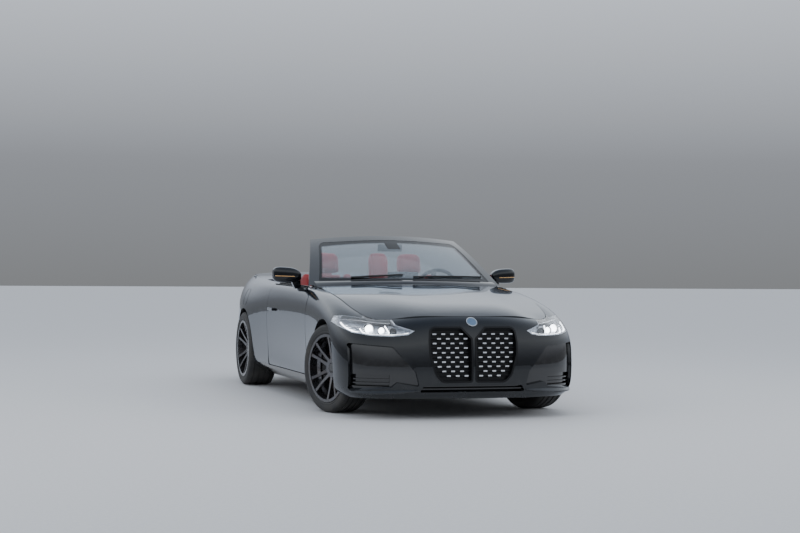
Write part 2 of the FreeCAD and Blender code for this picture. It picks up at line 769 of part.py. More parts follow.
handle_y = 255.0
handle_z = 718.0
handle_half = 92.0
handle_height = 24.0
handle_outer_x = 913.0
handle_bar = 11.0
handle_foot = 28.0


def door_handle():
    """A bar on two feet, with room for the fingers behind it."""
    low = handle_z - handle_height / 2
    high = handle_z + handle_height / 2
    whole = softened(box(880, handle_outer_x, handle_y - handle_half, handle_y + handle_half, low, high), 5)
    front = handle_y - handle_half + handle_foot
    rear = handle_y + handle_half - handle_foot
    room = box(870, handle_outer_x - handle_bar, front, rear, low - 1, high + 1)
    return whole.cut(room)


def door():
    shell = wall(9, 14, door_depth).common(prism(DOOR, "yz", 600, 1000))
    cuts = []
    for z in LUG_HEIGHTS:
        for step in range(swing_steps):
            slot = lug(z, lug_room)
            slot.rotate(Vector(door_pin_x, door_pin_y, z), UP, door_swing * step / (swing_steps - 1))
            cuts.append(slot)
        cuts.append(door_pin(z, running))
    shell = shell.cut(cuts + [box(*WINDOW_SLOT)])
    return joined([max(shell.Solids, key=lambda solid: solid.Volume), door_handle()])


def mirror_pod():
    """A door mirror: a rounded shell on a short arm that stands on the door's shoulder."""
    sections = []
    for x, middle_y, middle_z, half_y, half_z in MIRROR_SECTIONS:
        points = []
        for k in range(12):
            a = 2 * math.pi * k / 12
            flat = 1.55
            c = math.copysign(abs(math.cos(a)) ** (1 / flat), math.cos(a))
            s = math.copysign(abs(math.sin(a)) ** (1 / flat), math.sin(a))
            points.append(Vector(x, middle_y + half_y * c, middle_z + half_z * s))
        curve = Part.BSplineCurve()
        curve.interpolate(Points=points, PeriodicFlag=True)
        sections.append(Part.Wire(curve.toShape()))
    shell = Part.makeLoft(sections, True, False)
    arm = prism([(800, 905), (868, 905), (905, 985), (860, 1000)], "xz", -490, -445)
    arm = arm.cut(wall(10, 12, door_depth, -seam))
    return joined([shell, max(arm.Solids, key=lambda solid: solid.Volume)])


mirror_x = 1040.5
MIRROR_SECTIONS = [
    # x, middle y, middle z, half depth, half height
    (820, -478, 1004, 28, 24),
    (852, -474, 1012, 52, 48),
    (920, -464, 1017, 62, 61),
    (990, -454, 1019, 58, 62),
    (1028, -446, 1020, 42, 52),
    (mirror_x, -442, 1021, 26, 34),
]

# Wheels, in a frame whose origin is on the kingpin at hub height with +X outboard
hub_radius = 24.0
hub_face = 20.0
spoke_pairs = 5
# One spoke of a pair from outboard, as corners: radius, distance from the middle of the pair.
SPOKE_OUTLINE = [(20, 6), (60, 4), (240, 46), (240, 72), (150, 44), (60, 34)]


def tyre(width):
    h = width / 2
    b = bead_radius
    r = tyre_radius
    profile = [
        (-h + 13, b), (-h + 13, b + 15), (-h + 2, b + 32), (-h, b + 48), (-h + 6, r - 14), (-h + 22, r),
        (h - 22, r), (h - 6, r - 14), (h, b + 48), (h - 2, b + 32), (h - 13, b + 15), (h - 13, b),
        (h - 24, b), (h - 12, b + 40), (h - 26, r - 16), (-h + 26, r - 16), (-h + 12, b + 40), (-h + 24, b),
    ]
    return turned(profile, ORIGIN, ACROSS)


def rim(width):
    h = width / 2
    edge = h - 13 + seam
    barrel = [
        (-edge - 6, flange_radius - 3), (-edge, flange_radius - 3), (-edge, bead_radius - seam),
        (-60, bead_radius - seam), (-50, bead_radius - 14), (20, bead_radius - 14),
        (40, bead_radius - seam), (edge, bead_radius - seam), (edge, flange_radius),
        (edge + 8, flange_radius), (edge + 8, bead_radius - 8), (44, bead_radius - 9),
        (24, bead_radius - 23), (-54, bead_radius - 23), (-64, bead_radius - 9),
        (-edge - 6, bead_radius - 9),
    ]
    ring = turned(barrel, ORIGIN, ACROSS)
    face = h - 54
    dish = [
        (face - 34, 30), (face, 30), (face + 2, 75), (face + 26, 160), (edge + 4, bead_radius - 4),
        (edge - 24, bead_radius - 4), (face - 6, 150), (face - 30, 78),
    ]
    bowl = turned(dish, ORIGIN, ACROSS)
    arms = []
    for pair in range(spoke_pairs):
        for way in (-1, 1):
            arm = [(r, way * a) for r, a in SPOKE_OUTLINE][::way]
            spoke = Part.Face(Part.makePolygon([Vector(0, a, b) for b, a in arm + arm[:1]]))
            spoke = spoke.extrude(ACROSS * 200)
            spoke.rotate(ORIGIN, ACROSS, 360 * pair / spoke_pairs + 18)
            arms.append(spoke)
    spokes = bowl.common(joined(arms))
    hub = turned([
        (hub_face + seam, hub_radius + running), (hub_face + seam, 78), (face - 20, 80), (face + 3, 70),
        (face + 3, 40), (face - 4, 34), (face - 4, 0), (face - 16, 0), (face - 16, hub_radius + running),
    ], ORIGIN, ACROSS)
    return joined([ring, spokes, hub])


def brake_disc():
    return turned([
        (-35, 104), (-35, disc_radius), (-5, disc_radius), (-5, 96), (hub_face, 96),
        (hub_face, hub_radius + running), (hub_face - 8, hub_radius + running), (hub_face - 8, 86), (-17, 86),
        (-17, 104),
    ], ORIGIN, ACROSS)


def caliper():
    """A fixed caliper that bridges the disc behind the hub."""
    sector = turned([(-62, 108), (-62, 196), (18, 196), (18, 108)], ORIGIN, ACROSS)
    sector = sector.common(prism([(60, -88), (230, -88), (230, 88), (60, 88)], "yz", -100, 100))
    slot = turned([(-39, 90), (-39, disc_radius + 5), (-1, disc_radius + 5), (-1, 90)], ORIGIN, ACROSS)
    return sector.cut(slot)


spindle_end = 40.0
ball_pin = 9.0
cross_member_low = 175.0
cross_member_top = 213.0
strut_x = 545.0
strut_radius = 38.0
# Each arm: its corners in plan, as x and the distance behind the axle, then its low and high face from the hub.
LOWER_ARM = ([(400, -110), (400, 110), (700, 28), (738, 22), (738, -22), (700, -28)], -152, -128)
UPPER_ARM = ([(462, -90), (462, 90), (700, 24), (736, 20), (736, -20), (700, -24)], 130, 148)


def knuckle():
    upright = box(-24, 24, -30, 30, -126, 128)
    upright = upright.cut([
        rod(ball_pin + running, Vector(0, 0, -130), Vector(0, 0, -90)),
        rod(ball_pin + running, Vector(0, 0, 132), Vector(0, 0, 92)),
    ])
    spindle = rod(hub_radius, Vector(10, 0, 0), Vector(kingpin_inset + spindle_end, 0, 0))
    clamp = caliper()
    clamp.translate(Vector(kingpin_inset, 0, 0))
    bridge = box(-20, 24, 20, 150, -45, 45)
    steering_arm = box(-20, 12, -140, -20, -70, -50)
    return joined([upright, spindle, bridge, clamp, steering_arm])


def at_kingpin(shape, side):
    placed = shape.copy() if side > 0 else mirrored(shape)
    placed.rotate(ORIGIN, UP, steer_rest)
    placed.translate(Vector(side * kingpin_x, front_axle_y, tyre_radius))
    return placed


def outboard(shape):
    moved = shape.copy()
    moved.translate(Vector(kingpin_inset, 0, 0))
    return moved


def at_rear_hub(shape, side):
    placed = shape.copy() if side > 0 else mirrored(shape)
    placed.translate(Vector(side * rear_track / 2, rear_axle_y, tyre_radius))
    return placed


def front_suspension():
    """Lower and upper arms with their ball pins, struts and the cross member that carries them."""
    y = front_axle_y
    hub = tyre_radius
    parts = [box(-430, 430, y - 60, y + 60, cross_member_low, cross_member_top)]
    for side in (-1, 1):
        pieces = []
        for outline, low, high in (LOWER_ARM, UPPER_ARM):
            corners = [(x, y + behind_axle) for x, behind_axle in outline]
            pieces.append(prism(corners, "xy", hub + low, hub + high))
        pieces.append(rod(ball_pin, Vector(kingpin_x, y, hub - 140), Vector(kingpin_x, y, hub - 94)))
        pieces.append(rod(ball_pin, Vector(kingpin_x, y, hub + 140), Vector(kingpin_x, y, hub + 96)))
        pieces.append(rod(strut_radius, Vector(strut_x, y, hub - 140), Vector(strut_x, y, hub + 398)))
        pieces.append(box(392, 430, y - 40, y + 40, 190, 329.7))
        parts += pieces if side > 0 else [mirrored(p) for p in pieces]
    return joined(parts)


def rear_suspension():
    """Cross member, arms, springs, the hub carriers with their spindles and the drive shafts."""
    y = rear_axle_y
    hub = tyre_radius
    carrier_x = rear_track / 2 - kingpin_inset - 20
    parts = [box(-450, 450, y - 70, y + 70, 186, 240), box(-130, 130, y - 110, y + 110, 230, 402)]
    clamp = caliper()
    clamp.translate(Vector(rear_track / 2, 0, 0))
    for side in (-1, 1):
        pieces = [
            prism([(440, y - 90), (440, y + 90), (carrier_x, y + 40), (carrier_x, y - 40)], "xy", 200, 226),
            box(carrier_x - 30, carrier_x + 22, y - 55, y + 55, 200, hub + 90),
            rod(hub_radius, Vector(carrier_x, y, hub), Vector(rear_track / 2 + spindle_end, y, hub)),
            rod(18, Vector(120, y, hub), Vector(carrier_x, y, hub)),
            rod(36, Vector(610, y, 220), Vector(610, y, hub + rear_liner - 2.5)),
            box(455, 525, y - 60, y + 60, 230, boot_floor_z - seam),
        ]
        moved = clamp.copy()
        moved.translate(Vector(0, y, hub))
        pieces.append(moved)
        pieces.append(box(carrier_x - 20, rear_track / 2 - 50, y + 40, y + 150, hub - 45, hub + 45))
        parts += pieces if side > 0 else [mirrored(p) for p in pieces]
    return joined(parts)


# Underbody
firewall_y = -905.0
apron_x = 460.0
floor_z = 165.0
floor_depth = 10.0
boot_floor_z = 430.0
bulkhead_y = 1100.0
sill_inner_x = 720.0
tunnel_half = 115.0
tunnel_top = 390.0
tunnel_wall = 12.0
seat_pan_top = 325.0
tunnel_rear_y = 560.0
APRON = [(-2215, 330), (-2215, 590), (-1990, 660), (-1750, 740), (-886, 740), (-886, 330)]


def liner(axle_y, radius, x0, x1):
    outer = wheel_well(axle_y, radius + 6, x0, x1)
    upper = box(x0, x1, axle_y - 600, axle_y + 600, tyre_radius - 40, 900)
    return outer.cut(wheel_well(axle_y, radius, x0 - 10, x1 + 10)).common(upper)


def underbody():
    t = plate
    half = sill_inner_x
    parts = [
        box(-half, half, firewall_y, 900, floor_z, floor_z + floor_depth),
        box(-tunnel_half, tunnel_half, firewall_y, tunnel_rear_y, floor_z, tunnel_top),
        box(-745, 745, firewall_y, firewall_y + t, sill_top + seam, 930),
        box(-half, half, firewall_y, firewall_y + t, floor_z, 300),
        box(-half, half, 900, 900 + t, floor_z, 310),
        box(-half + 10, half - 10, 560, 925, seat_pan_top - 15, seat_pan_top),
        box(-bench_half, bench_half, 925, bulkhead_y, seat_pan_top - 15, seat_pan_top),
        box(-half + 10, half - 10, 545, 560, floor_z, seat_pan_top),
        box(-640, 640, bulkhead_y, bulkhead_y + t, 300, 930),
        box(-560, 560, bulkhead_y, 2240, boot_floor_z, boot_floor_z + 12),
        box(-560, 560, 2228, 2246, boot_floor_z, 600),
        box(-600, 600, 2246, 2340, 440, 520),
        box(-800, 800, -2290, -2215, 400, 440),
    ]
    sides = [
        prism(APRON, "yz", apron_x - t, apron_x),
        box(apron_x - 80, apron_x - t, -2300, firewall_y, 330, 440),
        box(700, 850, -1010, door_front_y - 12, sill_top + seam, 850),
        box(690, half, -1010, firewall_y + t, floor_z, 850),
        box(540, 560, bulkhead_y, 2200, boot_floor_z, 900),
        box(440, 540, 900, bulkhead_y + 100, 250, 305),
        box(440, 540, bulkhead_y, bulkhead_y + 100, 250, boot_floor_z + 12),
        box(640, half, 880, 940, floor_z, 310),
        box(640, 900, 1000, 1060, 700, 900),
        liner(front_axle_y, front_liner, apron_x - 10, 900),
        liner(rear_axle_y, rear_liner, 545, 900),
    ]
    inside = tunnel_half - tunnel_wall
    tunnel_end = tunnel_rear_y - plate
    tunnel_inside = box(-inside, inside, firewall_y - 1, tunnel_end, floor_z - 1, tunnel_top - 14)
    pipe_way = box(-inside, inside, tunnel_end - 1, 925, floor_z - 1, 304)
    hinges = []
    for z in LUG_HEIGHTS:
        hinges += [lug(z, 0), door_pin(z, 0)]
    whole = joined(parts + sides + [mirrored(p) for p in sides])
    depth = panel_depth + seam
    panels = [wall(-9.9, 9.9, depth, -60), wall(11.2, 2 * LAST_POST - 11.2, depth, -60)]
    whole = whole.cut([tunnel_inside, pipe_way, above_cowl()] + panels)
    whole = joined([whole] + hinges + [mirrored(h) for h in hinges])
    return max(whole.Solids, key=lambda solid: solid.Volume)


jack_pad_x = 760.0
jack_pad_half = 35.0
jack_pad_z = 146.0
JACK_PAD_STATIONS = (-950.0, 750.0)


def sills():
    """The sill mouldings, each with two flat pads for a lift or a jack."""
    shell = wall(8, 15, 170).common(box(sill_inner_x + seam, 1000, -1160, 945, 0, sill_top))
    shell = shell.cut([front_well, rear_well])
    pads = []
    for y in JACK_PAD_STATIONS:
        x = jack_pad_x
        half = jack_pad_half
        pads.append(box(x - half, x + half, y - half, y + half, jack_pad_z, floor_z))
    left = joined(shell.Solids + pads)
    return left, mirrored(left)


# Cabin
seat_x = 375.0
seat_y = -110.0
seat_width = 500.0
seat_low = 291.0
seat_high = 455.0
seat_lean = 18.0
head_lean = 10.0
bench_half = 540.0
bench_lean = 12.0
rear_head_x = 265.0
rear_head_lean = 8.0


def dashboard():
    profile = [
        (-880, 700), (-880, 850), (-850, 900), (-780, 935), (-690, 945), (-600, 936), (-560, 912),
        (-545, 868), (-600, 700),
    ]
    top = prism(profile, "yz", -735, 735)
    return top.cut([box(-800, 800, -1000, firewall_y + plate + seam, 0, 1000), above_cowl()])


def centre_console():
    low = tunnel_top + seam
    profile = [
        (-600, low), (-600, 699), (-560, 690), (-420, 610), (-60, 590), (-60, 640), (330, 640), (330, low),
    ]
    return prism(profile, "yz", -tunnel_half + 4, tunnel_half - 4)


def seat_frames():
    shapes = []
    for side in (-1, 1):
        x = side * seat_x
        low = floor_z + floor_depth + seam
        rails = [box(x + way * 185 - 15, x + way * 185 + 15, seat_y - 180, seat_y + 380, low, 215)
                 for way in (-1, 1)]
        pan = box(x - 215, x + 215, seat_y - 160, seat_y + 360, 215, 290)
        shapes.append(joined(rails + [pan]))
    return shapes


def seat(x, y, width):
    half = width / 2
    cushion = softened(box(x - half, x + half, y - 160, y + 350, seat_low, seat_high), 38)
    back = softened(box(x - half + 15, x + half - 15, 0, 125, 0, 640), 40)
    back.rotate(Vector(x, 0, 0), ACROSS, -seat_lean)
    back.translate(Vector(0, y + 275, 425))
    head = softened(box(x - 120, x + 120, 0, 95, 0, 185), 34)
    head.rotate(Vector(x, 0, 0), ACROSS, -head_lean)
    head.translate(Vector(0, y + 455, 1026))
    return joined([cushion, back, head])


def rear_bench():
    base = softened(box(-bench_half, bench_half, 570, 930, seat_pan_top + seam, 490), 36)
    back = softened(box(-bench_half, bench_half, 0, 105, 0, 500), 38)
    back.rotate(ORIGIN, ACROSS, -bench_lean)
    back.translate(Vector(0, 858, 430))
    heads = []
    for x in (-rear_head_x, rear_head_x):
        head = softened(box(x - 104, x + 104, 0, 82, 0, 330), 30)
        head.rotate(Vector(x, 0, 0), ACROSS, -rear_head_lean)
        head.translate(Vector(0, 916, 897))
        heads.append(head)
    return joined([base, back] + heads)


def side_trims():
    shape = box(600, 748, 470, 1045, seat_pan_top + seam, 880)
    housing = wheel_well(rear_axle_y, rear_liner + 10, 500, beside)
    shape = shape.cut([box(500, 700, 400, 900, 620, 1000), housing])
    return shape, mirrored(shape)


column_tilt = 25.0
steering_ring = 172.0
steering_grip = 15.0
steering_stem = 16.0
column_tube = 34.0
wheel_centre = Vector(seat_x, -345, 905)
column_axis = Vector(0, math.cos(math.radians(column_tilt)), math.sin(math.radians(column_tilt)))


def steering_wheel():
    rim_shape = Part.makeTorus(steering_ring, steering_grip, ORIGIN, UP)
    hub = Part.makeCone(52, 46, 40, Vector(0, 0, -30), UP)
    spokes = [
        box(-170, 170, -20, 22, -16, -4),
        box(-22, 22, -170, 0, -16, -4),
    ]
    stem = rod(steering_stem, Vector(0, 0, -85), Vector(0, 0, -20))
    wheel = joined([rim_shape, hub, stem] + spokes)
    wheel.rotate(ORIGIN, UP, steer_rest * steering_ratio)
    wheel.rotate(ORIGIN, ACROSS, column_tilt - 90)
    wheel.translate(wheel_centre)
    return wheel


def steering_column():
    start = wheel_centre - column_axis * 230
    end = wheel_centre - column_axis * 60
    tube = rod(column_tube, start, end)
    return tube.cut(rod(steering_stem + running, end - column_axis * 28, end + column_axis * 5))


def cabin_mirror():
    """The mirror hangs on a short stem from the inside of the glass."""
    glass_inside = net_surface(screen_net(glass_set_in + glass_depth + seam))
    u0, u1, v0, v1 = glass_inside.bounds()
    foot = glass_inside.value(u0 + (u1 - u0) * 0.8, (v0 + v1) / 2)
    shell = softened(box(-105, 105, -13, 13, -30, 30), 9)
    shell.rotate(ORIGIN, ACROSS, 12)
    shell.translate(foot + Vector(0, 18, -40))
    return shell.fuse(rod(8, foot, foot + SCREEN_IN * 34))


# Exhaust
exhaust_x = 500.0
exhaust_end_y = 2345.0
exhaust_z = 285.0
exhaust_radius = 48.0
exhaust_room = 14.0
exhaust_wall = 4.0
exhaust_pipe = 24.0
exhaust_pipe_z = 275.0
silencer_front_y = 1840.0
silencer_rear_y = 2110.0


def exhaust():
    """Silencer, its two tail pipes and the pipe along the tunnel."""
    silencer = softened(box(-520, 520, silencer_front_y, silencer_rear_y, 215, 340), 40)
    run = [(55, -600), (55, 1000), (190, 1150), (190, silencer_front_y + 30)]
    route = [Vector(x, y, exhaust_pipe_z) for x, y in run]
    pieces = [silencer] + [rod(exhaust_pipe, a, b) for a, b in zip(route, route[1:])]
    pieces += [Part.makeSphere(exhaust_pipe, p) for p in route[1:-1]]
    for side in (-1, 1):
        outlet = Vector(side * 450, silencer_rear_y - 15, exhaust_pipe_z)
        pieces.append(rod(26, outlet, Vector(side * exhaust_x, 2215, exhaust_z)))
        pieces.append(rod(9, Vector(side * 300, 1975, 330), Vector(side * 300, 1975, boot_floor_z - seam)))
    for x in (-exhaust_x, exhaust_x):
        tube = rod(exhaust_radius, Vector(x, 2170, exhaust_z), Vector(x, exhaust_end_y, exhaust_z))
        inside = rod(exhaust_radius - exhaust_wall, Vector(x, 2230, exhaust_z), Vector(x, behind, exhaust_z))
        pieces.append(tube.cut(inside))
    return joined(pieces)


engine_half = 230.0
engine_top = 780.0
engine_ahead = 226.0
engine_behind = 414.0


def engine():
    """One plain block on the cross member, set from the front axle."""
    front = front_axle_y - engine_ahead
    rear = front_axle_y + engine_behind
    return box(-engine_half, engine_half, front, rear, cross_member_top + seam, engine_top)


LAMP_CUPS = [(577, -2200, 640), (705, -2105, 655)]
lamp_cup_radius = 24.0
LAMP_POSTS = (1.5, 6)
lamp_shell = 8.0
lamp_plate = 10.0
lens_depth = 5.0


def headlamp():
    back = wall(*LAMP_POSTS, panel_depth, panel_depth - lamp_plate)
    outline = prism(LAMP, "xz", ahead, lamp_end_y)
    inside = prism(grown(LAMP, -lamp_shell), "xz", ahead, lamp_end_y - lamp_shell)
    bowl = wall(*LAMP_POSTS, panel_depth, 6).common(outline).cut(inside)
    rear_plate = back.common(outline)
    cups = []
    for x, y, z in LAMP_CUPS:
        tube = rod(lamp_cup_radius, Vector(x, y, z), Vector(x, y + 80, z))
        cups.append(tube.common(wall(*LAMP_POSTS, panel_depth - 4, lens_depth + 9)))
    whole = joined([rear_plate] + bowl.Solids + [c for cup in cups for c in cup.Solids])
    return max(whole.Solids, key=lambda solid: solid.Volume)


def headlamp_lens():
    shell = wall(*LAMP_POSTS, lens_depth).common(prism(LAMP, "xz", ahead, lamp_end_y))
    return max(shell.Solids, key=lambda solid: solid.Volume)


wiper_radius = 7.0
# Columns: share of the glass's height and of its half width where the arm starts, then where it ends.
WIPER_RUNS = [(0.12, 0.06, 0.15, 0.86), (0.12, -0.62, 0.15, -0.06)]


def wipers():
    """Two parked arms that lie along the foot of the glass."""
    surface = net_surface(screen_net(glass_set_in - wiper_radius - seam))
    u0, u1, v0, v1 = surface.bounds()
    arms = []
    for start_height, start_share, end_height, end_share in WIPER_RUNS:
        points = []
        for k in range(5):
            height = start_height + (end_height - start_height) * k / 4
            share = start_share + (end_share - start_share) * k / 4
            points.append(surface.value(u0 + (u1 - u0) * height, (v0 + v1) / 2 + (v1 - v0) / 2 * share))
        curve = Part.BSplineCurve()
        curve.interpolate(Points=points)
        ring = Part.Wire(Part.Circle(points[0], points[1] - points[0], wiper_radius).toShape())
        arms.append(Part.Wire(curve.toShape()).makePipeShell([ring], True, False))
    return arms


export("front_bumper", front_bumper())
export("bumper_intakes", *intake_inserts())
bonnet_pin = pin_across(bonnet_half - 22, bonnet_half + 35, bonnet_pin_y, bonnet_pin_z)
fender_left = fender().fuse(bonnet_pin)
export("fenders", fender_left, mirrored(fender_left))
bonnet_bore = bore_across(bonnet_half - 40, bonnet_half + 10, bonnet_pin_y, bonnet_pin_z)
export("bonnet", bonnet().cut([bonnet_bore, mirrored(bonnet_bore)]))
surround = kidney_frame()
export("grille_frames", surround, mirrored(surround))
mesh, studs = kidney_mesh()
export("grille_mesh", mesh, mirrored(mesh))
export("grille_studs", *studs, *[mirrored(s) for s in studs])
lamp = headlamp()
export("headlamps", lamp, mirrored(lamp))
lens = headlamp_lens()
export("headlamp_lenses", lens, mirrored(lens))
wing = quarter()
export("quarters", wing, mirrored(wing))
export("rear_bumper", rear_bumper())
tail = tail_lamps()
export("tail_lamps", tail, mirrored(tail))
export("lid_lamps", *lid_lamps())
export("boot_lid", *boot_lid())
export("tonneau_cover", tonneau_cover())
export("cowl", cowl())
export("windscreen_frame", screen_frame())
export("windscreen", screen_glass())
door_left = door()
export("door_left", door_left)
export("door_right", mirrored(door_left))
pod = mirror_pod()
export("mirror_left", pod)
export("mirror_right", mirrored(pod))
upright = knuckle()
for name, side in (("left", 1), ("right", -1)):
    export("knuckle_" + name, at_kingpin(upright, side))
    export("tyre_front_" + name, at_kingpin(outboard(tyre(front_tyre_width)), side))
    export("rim_front_" + name, at_kingpin(outboard(rim(front_tyre_width)), side))
    export("disc_front_" + name, at_kingpin(outboard(brake_disc()), side))
    export("tyre_rear_" + name, at_rear_hub(tyre(rear_tyre_width), side))
    export("rim_rear_" + name, at_rear_hub(rim(rear_tyre_width), side))
    export("disc_rear_" + name, at_rear_hub(brake_disc(), side))
export("front_suspension", front_suspension())
export("rear_suspension", rear_suspension())
export("underbody", underbody())
export("sills", *sills())
export("dashboard", dashboard().fuse(steering_column()))
export("centre_console", centre_console())
export("seat_frames", *seat_frames())
export("front_seats", seat(-seat_x, seat_y, seat_width), seat(seat_x, seat_y, seat_width))
export("rear_bench", rear_bench())
export("side_trims", *side_trims())
export("steering_wheel", steering_wheel())
export("cabin_mirror", cabin_mirror())
export("exhaust", exhaust())
export("engine", engine())
export("wipers", *wipers())
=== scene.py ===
# Looks for a black four-seat convertible car with red leather seats, its top stowed.
# Metres: +Z up, the nose faces -Y, the car's left side is +X.
import json
import math
import bmesh
import bpy
from mathutils import Matrix, Vector
from mathutils.bvhtree import BVHTree


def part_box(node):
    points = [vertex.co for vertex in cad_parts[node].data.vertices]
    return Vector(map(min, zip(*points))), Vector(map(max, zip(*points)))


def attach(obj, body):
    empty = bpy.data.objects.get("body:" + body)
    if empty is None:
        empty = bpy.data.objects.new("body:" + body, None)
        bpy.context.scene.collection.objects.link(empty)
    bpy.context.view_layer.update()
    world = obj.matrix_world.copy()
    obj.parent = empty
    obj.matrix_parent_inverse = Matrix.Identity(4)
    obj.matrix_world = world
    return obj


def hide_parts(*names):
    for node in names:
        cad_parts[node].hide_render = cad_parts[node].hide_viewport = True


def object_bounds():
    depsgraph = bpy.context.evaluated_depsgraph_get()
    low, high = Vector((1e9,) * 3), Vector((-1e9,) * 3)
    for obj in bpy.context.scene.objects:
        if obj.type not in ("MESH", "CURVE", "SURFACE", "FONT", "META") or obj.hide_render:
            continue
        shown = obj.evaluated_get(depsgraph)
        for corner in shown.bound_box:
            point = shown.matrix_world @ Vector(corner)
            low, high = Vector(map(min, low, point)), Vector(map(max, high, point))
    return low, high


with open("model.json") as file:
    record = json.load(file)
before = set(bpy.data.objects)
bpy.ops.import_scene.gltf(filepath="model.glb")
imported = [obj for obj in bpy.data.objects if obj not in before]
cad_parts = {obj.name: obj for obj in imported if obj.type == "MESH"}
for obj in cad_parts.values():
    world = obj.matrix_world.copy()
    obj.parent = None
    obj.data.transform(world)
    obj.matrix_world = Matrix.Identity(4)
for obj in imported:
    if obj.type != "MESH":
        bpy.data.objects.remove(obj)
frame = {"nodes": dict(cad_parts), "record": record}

cad_low, cad_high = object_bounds()
NODES = frame["nodes"]
UP = Vector((0, 0, 1))
AHEAD = Vector((0, -1, 0))
SIDES = (("left", 1), ("right", -1))


# Shader maths: an expression on values adds its Math nodes
class Value:
    """One output socket of a node tree, with the arithmetic that the finishes use."""

    def __init__(self, nodes, socket):
        self.nodes = nodes
        self.socket = socket

    def maths(self, operation, *terms):
        return self.nodes.node("Math", {"operation": operation}, *terms)

    def __add__(self, other):
        return self.maths("ADD", self, other)

    def __sub__(self, other):
        return self.maths("SUBTRACT", self, other)

    def __rsub__(self, other):
        return self.maths("SUBTRACT", other, self)

    def __mul__(self, other):
        return self.maths("MULTIPLY", self, other)

    def __gt__(self, other):
        return self.maths("GREATER_THAN", self, other)

    def __lt__(self, other):
        return self.maths("LESS_THAN", self, other)

    def __abs__(self):
        return self.maths("ABSOLUTE", self)

    def fraction(self):
        return self.maths("FRACT", self)

    def within(self, low, high):
        """0 below low, 1 above high, smooth between."""
        return self.nodes.node("MapRange", {"interpolation_type": "SMOOTHSTEP"}, self, low, high, 0.0, 1.0)

    __radd__ = __add__
    __rmul__ = __mul__


class Tree:
    """A node tree, and the one method that adds a node to it."""

    def __init__(self, tree):
        self.tree = tree

    def node(self, kind, settings, *values, out=0):
        """Adds a node: settings first, then a value or link for each socket in turn. None leaves a socket."""
        made = self.tree.nodes.new("ShaderNode" + kind)
        for key, setting in settings.items():
            if key == "stops":
                ramp = made.color_ramp.elements
                for element, (place, colour) in zip(ramp, setting):
                    element.position, element.color = place, (*colour, 1.0)
                for place, colour in setting[2:]:
                    ramp.new(place).color = (*colour, 1.0)
            else:
                setattr(made, key, setting)
        for socket, value in zip(made.inputs, values):
            if isinstance(value, Value):
                self.tree.links.new(value.socket, socket)
            elif isinstance(value, tuple):
                socket.default_value = (*value, 1.0)[: len(socket.default_value)]
            elif value is not None:
                socket.default_value = value
        return Value(self, made.outputs[out])

    def split(self, place):
        """The three parts of a vector."""
        outputs = self.node("SeparateXYZ", {}, place).socket.node.outputs
        return [Value(self, outputs[i]) for i in range(3)]


class Finish(Tree):
    """One material: a Principled shader and the nodes that feed it."""

    def __init__(self, name, colour, roughness=0.5, **constants):
        self.material = bpy.data.materials.new(name)
        self.material.use_nodes = True
        super().__init__(self.material.node_tree)
        self.shader = self.tree.nodes["Principled BSDF"]
        self.set("Base Color", colour)
        self.set("Roughness", roughness)
        for key, value in constants.items():
            self.set(key.replace("_", " ").title().replace("Ior", "IOR"), value)

    def set(self, socket, value):
        target = self.shader.inputs[socket]
        if isinstance(value, Value):
            self.tree.links.new(value.socket, target)
        else:
            target.default_value = (*value, 1.0) if isinstance(value, tuple) else value

    def place(self):
        """The point on the piece, in metres."""
        return self.node("TexCoord", {}, out=3)

    def axes(self):
        return self.split(self.place())

    def noise(self, scale, detail=3.0, roughness=0.55, where=None):
        return self.node("TexNoise", {}, where or self.place(), None, scale, detail, roughness)

    def cells(self, scale):
        return self.node("TexVoronoi", {"feature": "F1"}, self.place(), None, scale)

    def mix(self, share, first, second):
        unused = [None] * 5
        return self.node("Mix", {"data_type": "RGBA"}, share, *unused, first, second, out=2)

    def stretched(self, x, y, z):
        return self.node("Mapping", {}, self.place(), None, None, (x, y, z))

    def worn(self, mask, first, second, roughness, change, share=None):
        """Mixes two colours by the mask, or a share of it, and lets the mask change the roughness."""
        self.set("Base Color", self.mix(mask if share is None else mask * share, first, second))
        self.set("Roughness", roughness + mask * change)
        return self

    def bump(self, height, depth, strength=1.0):
        bump = self.node("Bump", {}, strength, depth)
        self.tree.links.new(height.socket, bump.socket.node.inputs["Height"])
        self.set("Normal", bump)
        return self


def gloss_paint():
    """Deep black paint with a blue-grey flake, a clear coat and a film of road dust low down."""
    f = Finish("gloss_black_paint", (0.006, 0.007, 0.010), coat_weight=0.9, coat_roughness=0.015,
               coat_tint=(0.80, 0.88, 1.0), specular_ior_level=0.08)
    _, _, z = f.axes()
    flake = f.cells(2200.0).within(0.05, 0.35)
    depth = f.mix(flake, (0.007, 0.009, 0.015), (0.0015, 0.002, 0.003))
    dust = f.noise(3.0, 6.0) * f.noise(28.0, 4.0) * (1 - z.within(0.10, 0.55))
    f.worn(dust, depth, (0.10, 0.095, 0.085), 0.16, 0.35, 0.5)
    return f.bump(f.noise(900.0, 1.0), 0.00001, 0.35).material


def moulded(name, colour, roughness, grain=1400.0, depth=0.00012):
    """Moulded plastic with a fine leather-like grain and a little wear."""
    f = Finish(name, colour, roughness)
    cells = f.cells(grain)
    wear = f.noise(14.0, 5.0).within(0.35, 0.75)
    paler = tuple(min(1.0, c * 1.5 + 0.006) for c in colour)
    return f.worn(wear, colour, paler, roughness, 0.10, 0.6).bump(cells, depth, 0.5).material


def piano_black(name="piano_black"):
    """Polished black plastic with a few smudges."""
    f = Finish(name, (0.008, 0.008, 0.009), 0.08, coat_weight=0.6, coat_roughness=0.03)
    smudge = f.noise(22.0, 6.0).within(0.42, 0.8)
    return f.worn(smudge, (0.007, 0.007, 0.008), (0.022, 0.022, 0.023), 0.07, 0.10, 0.3).material


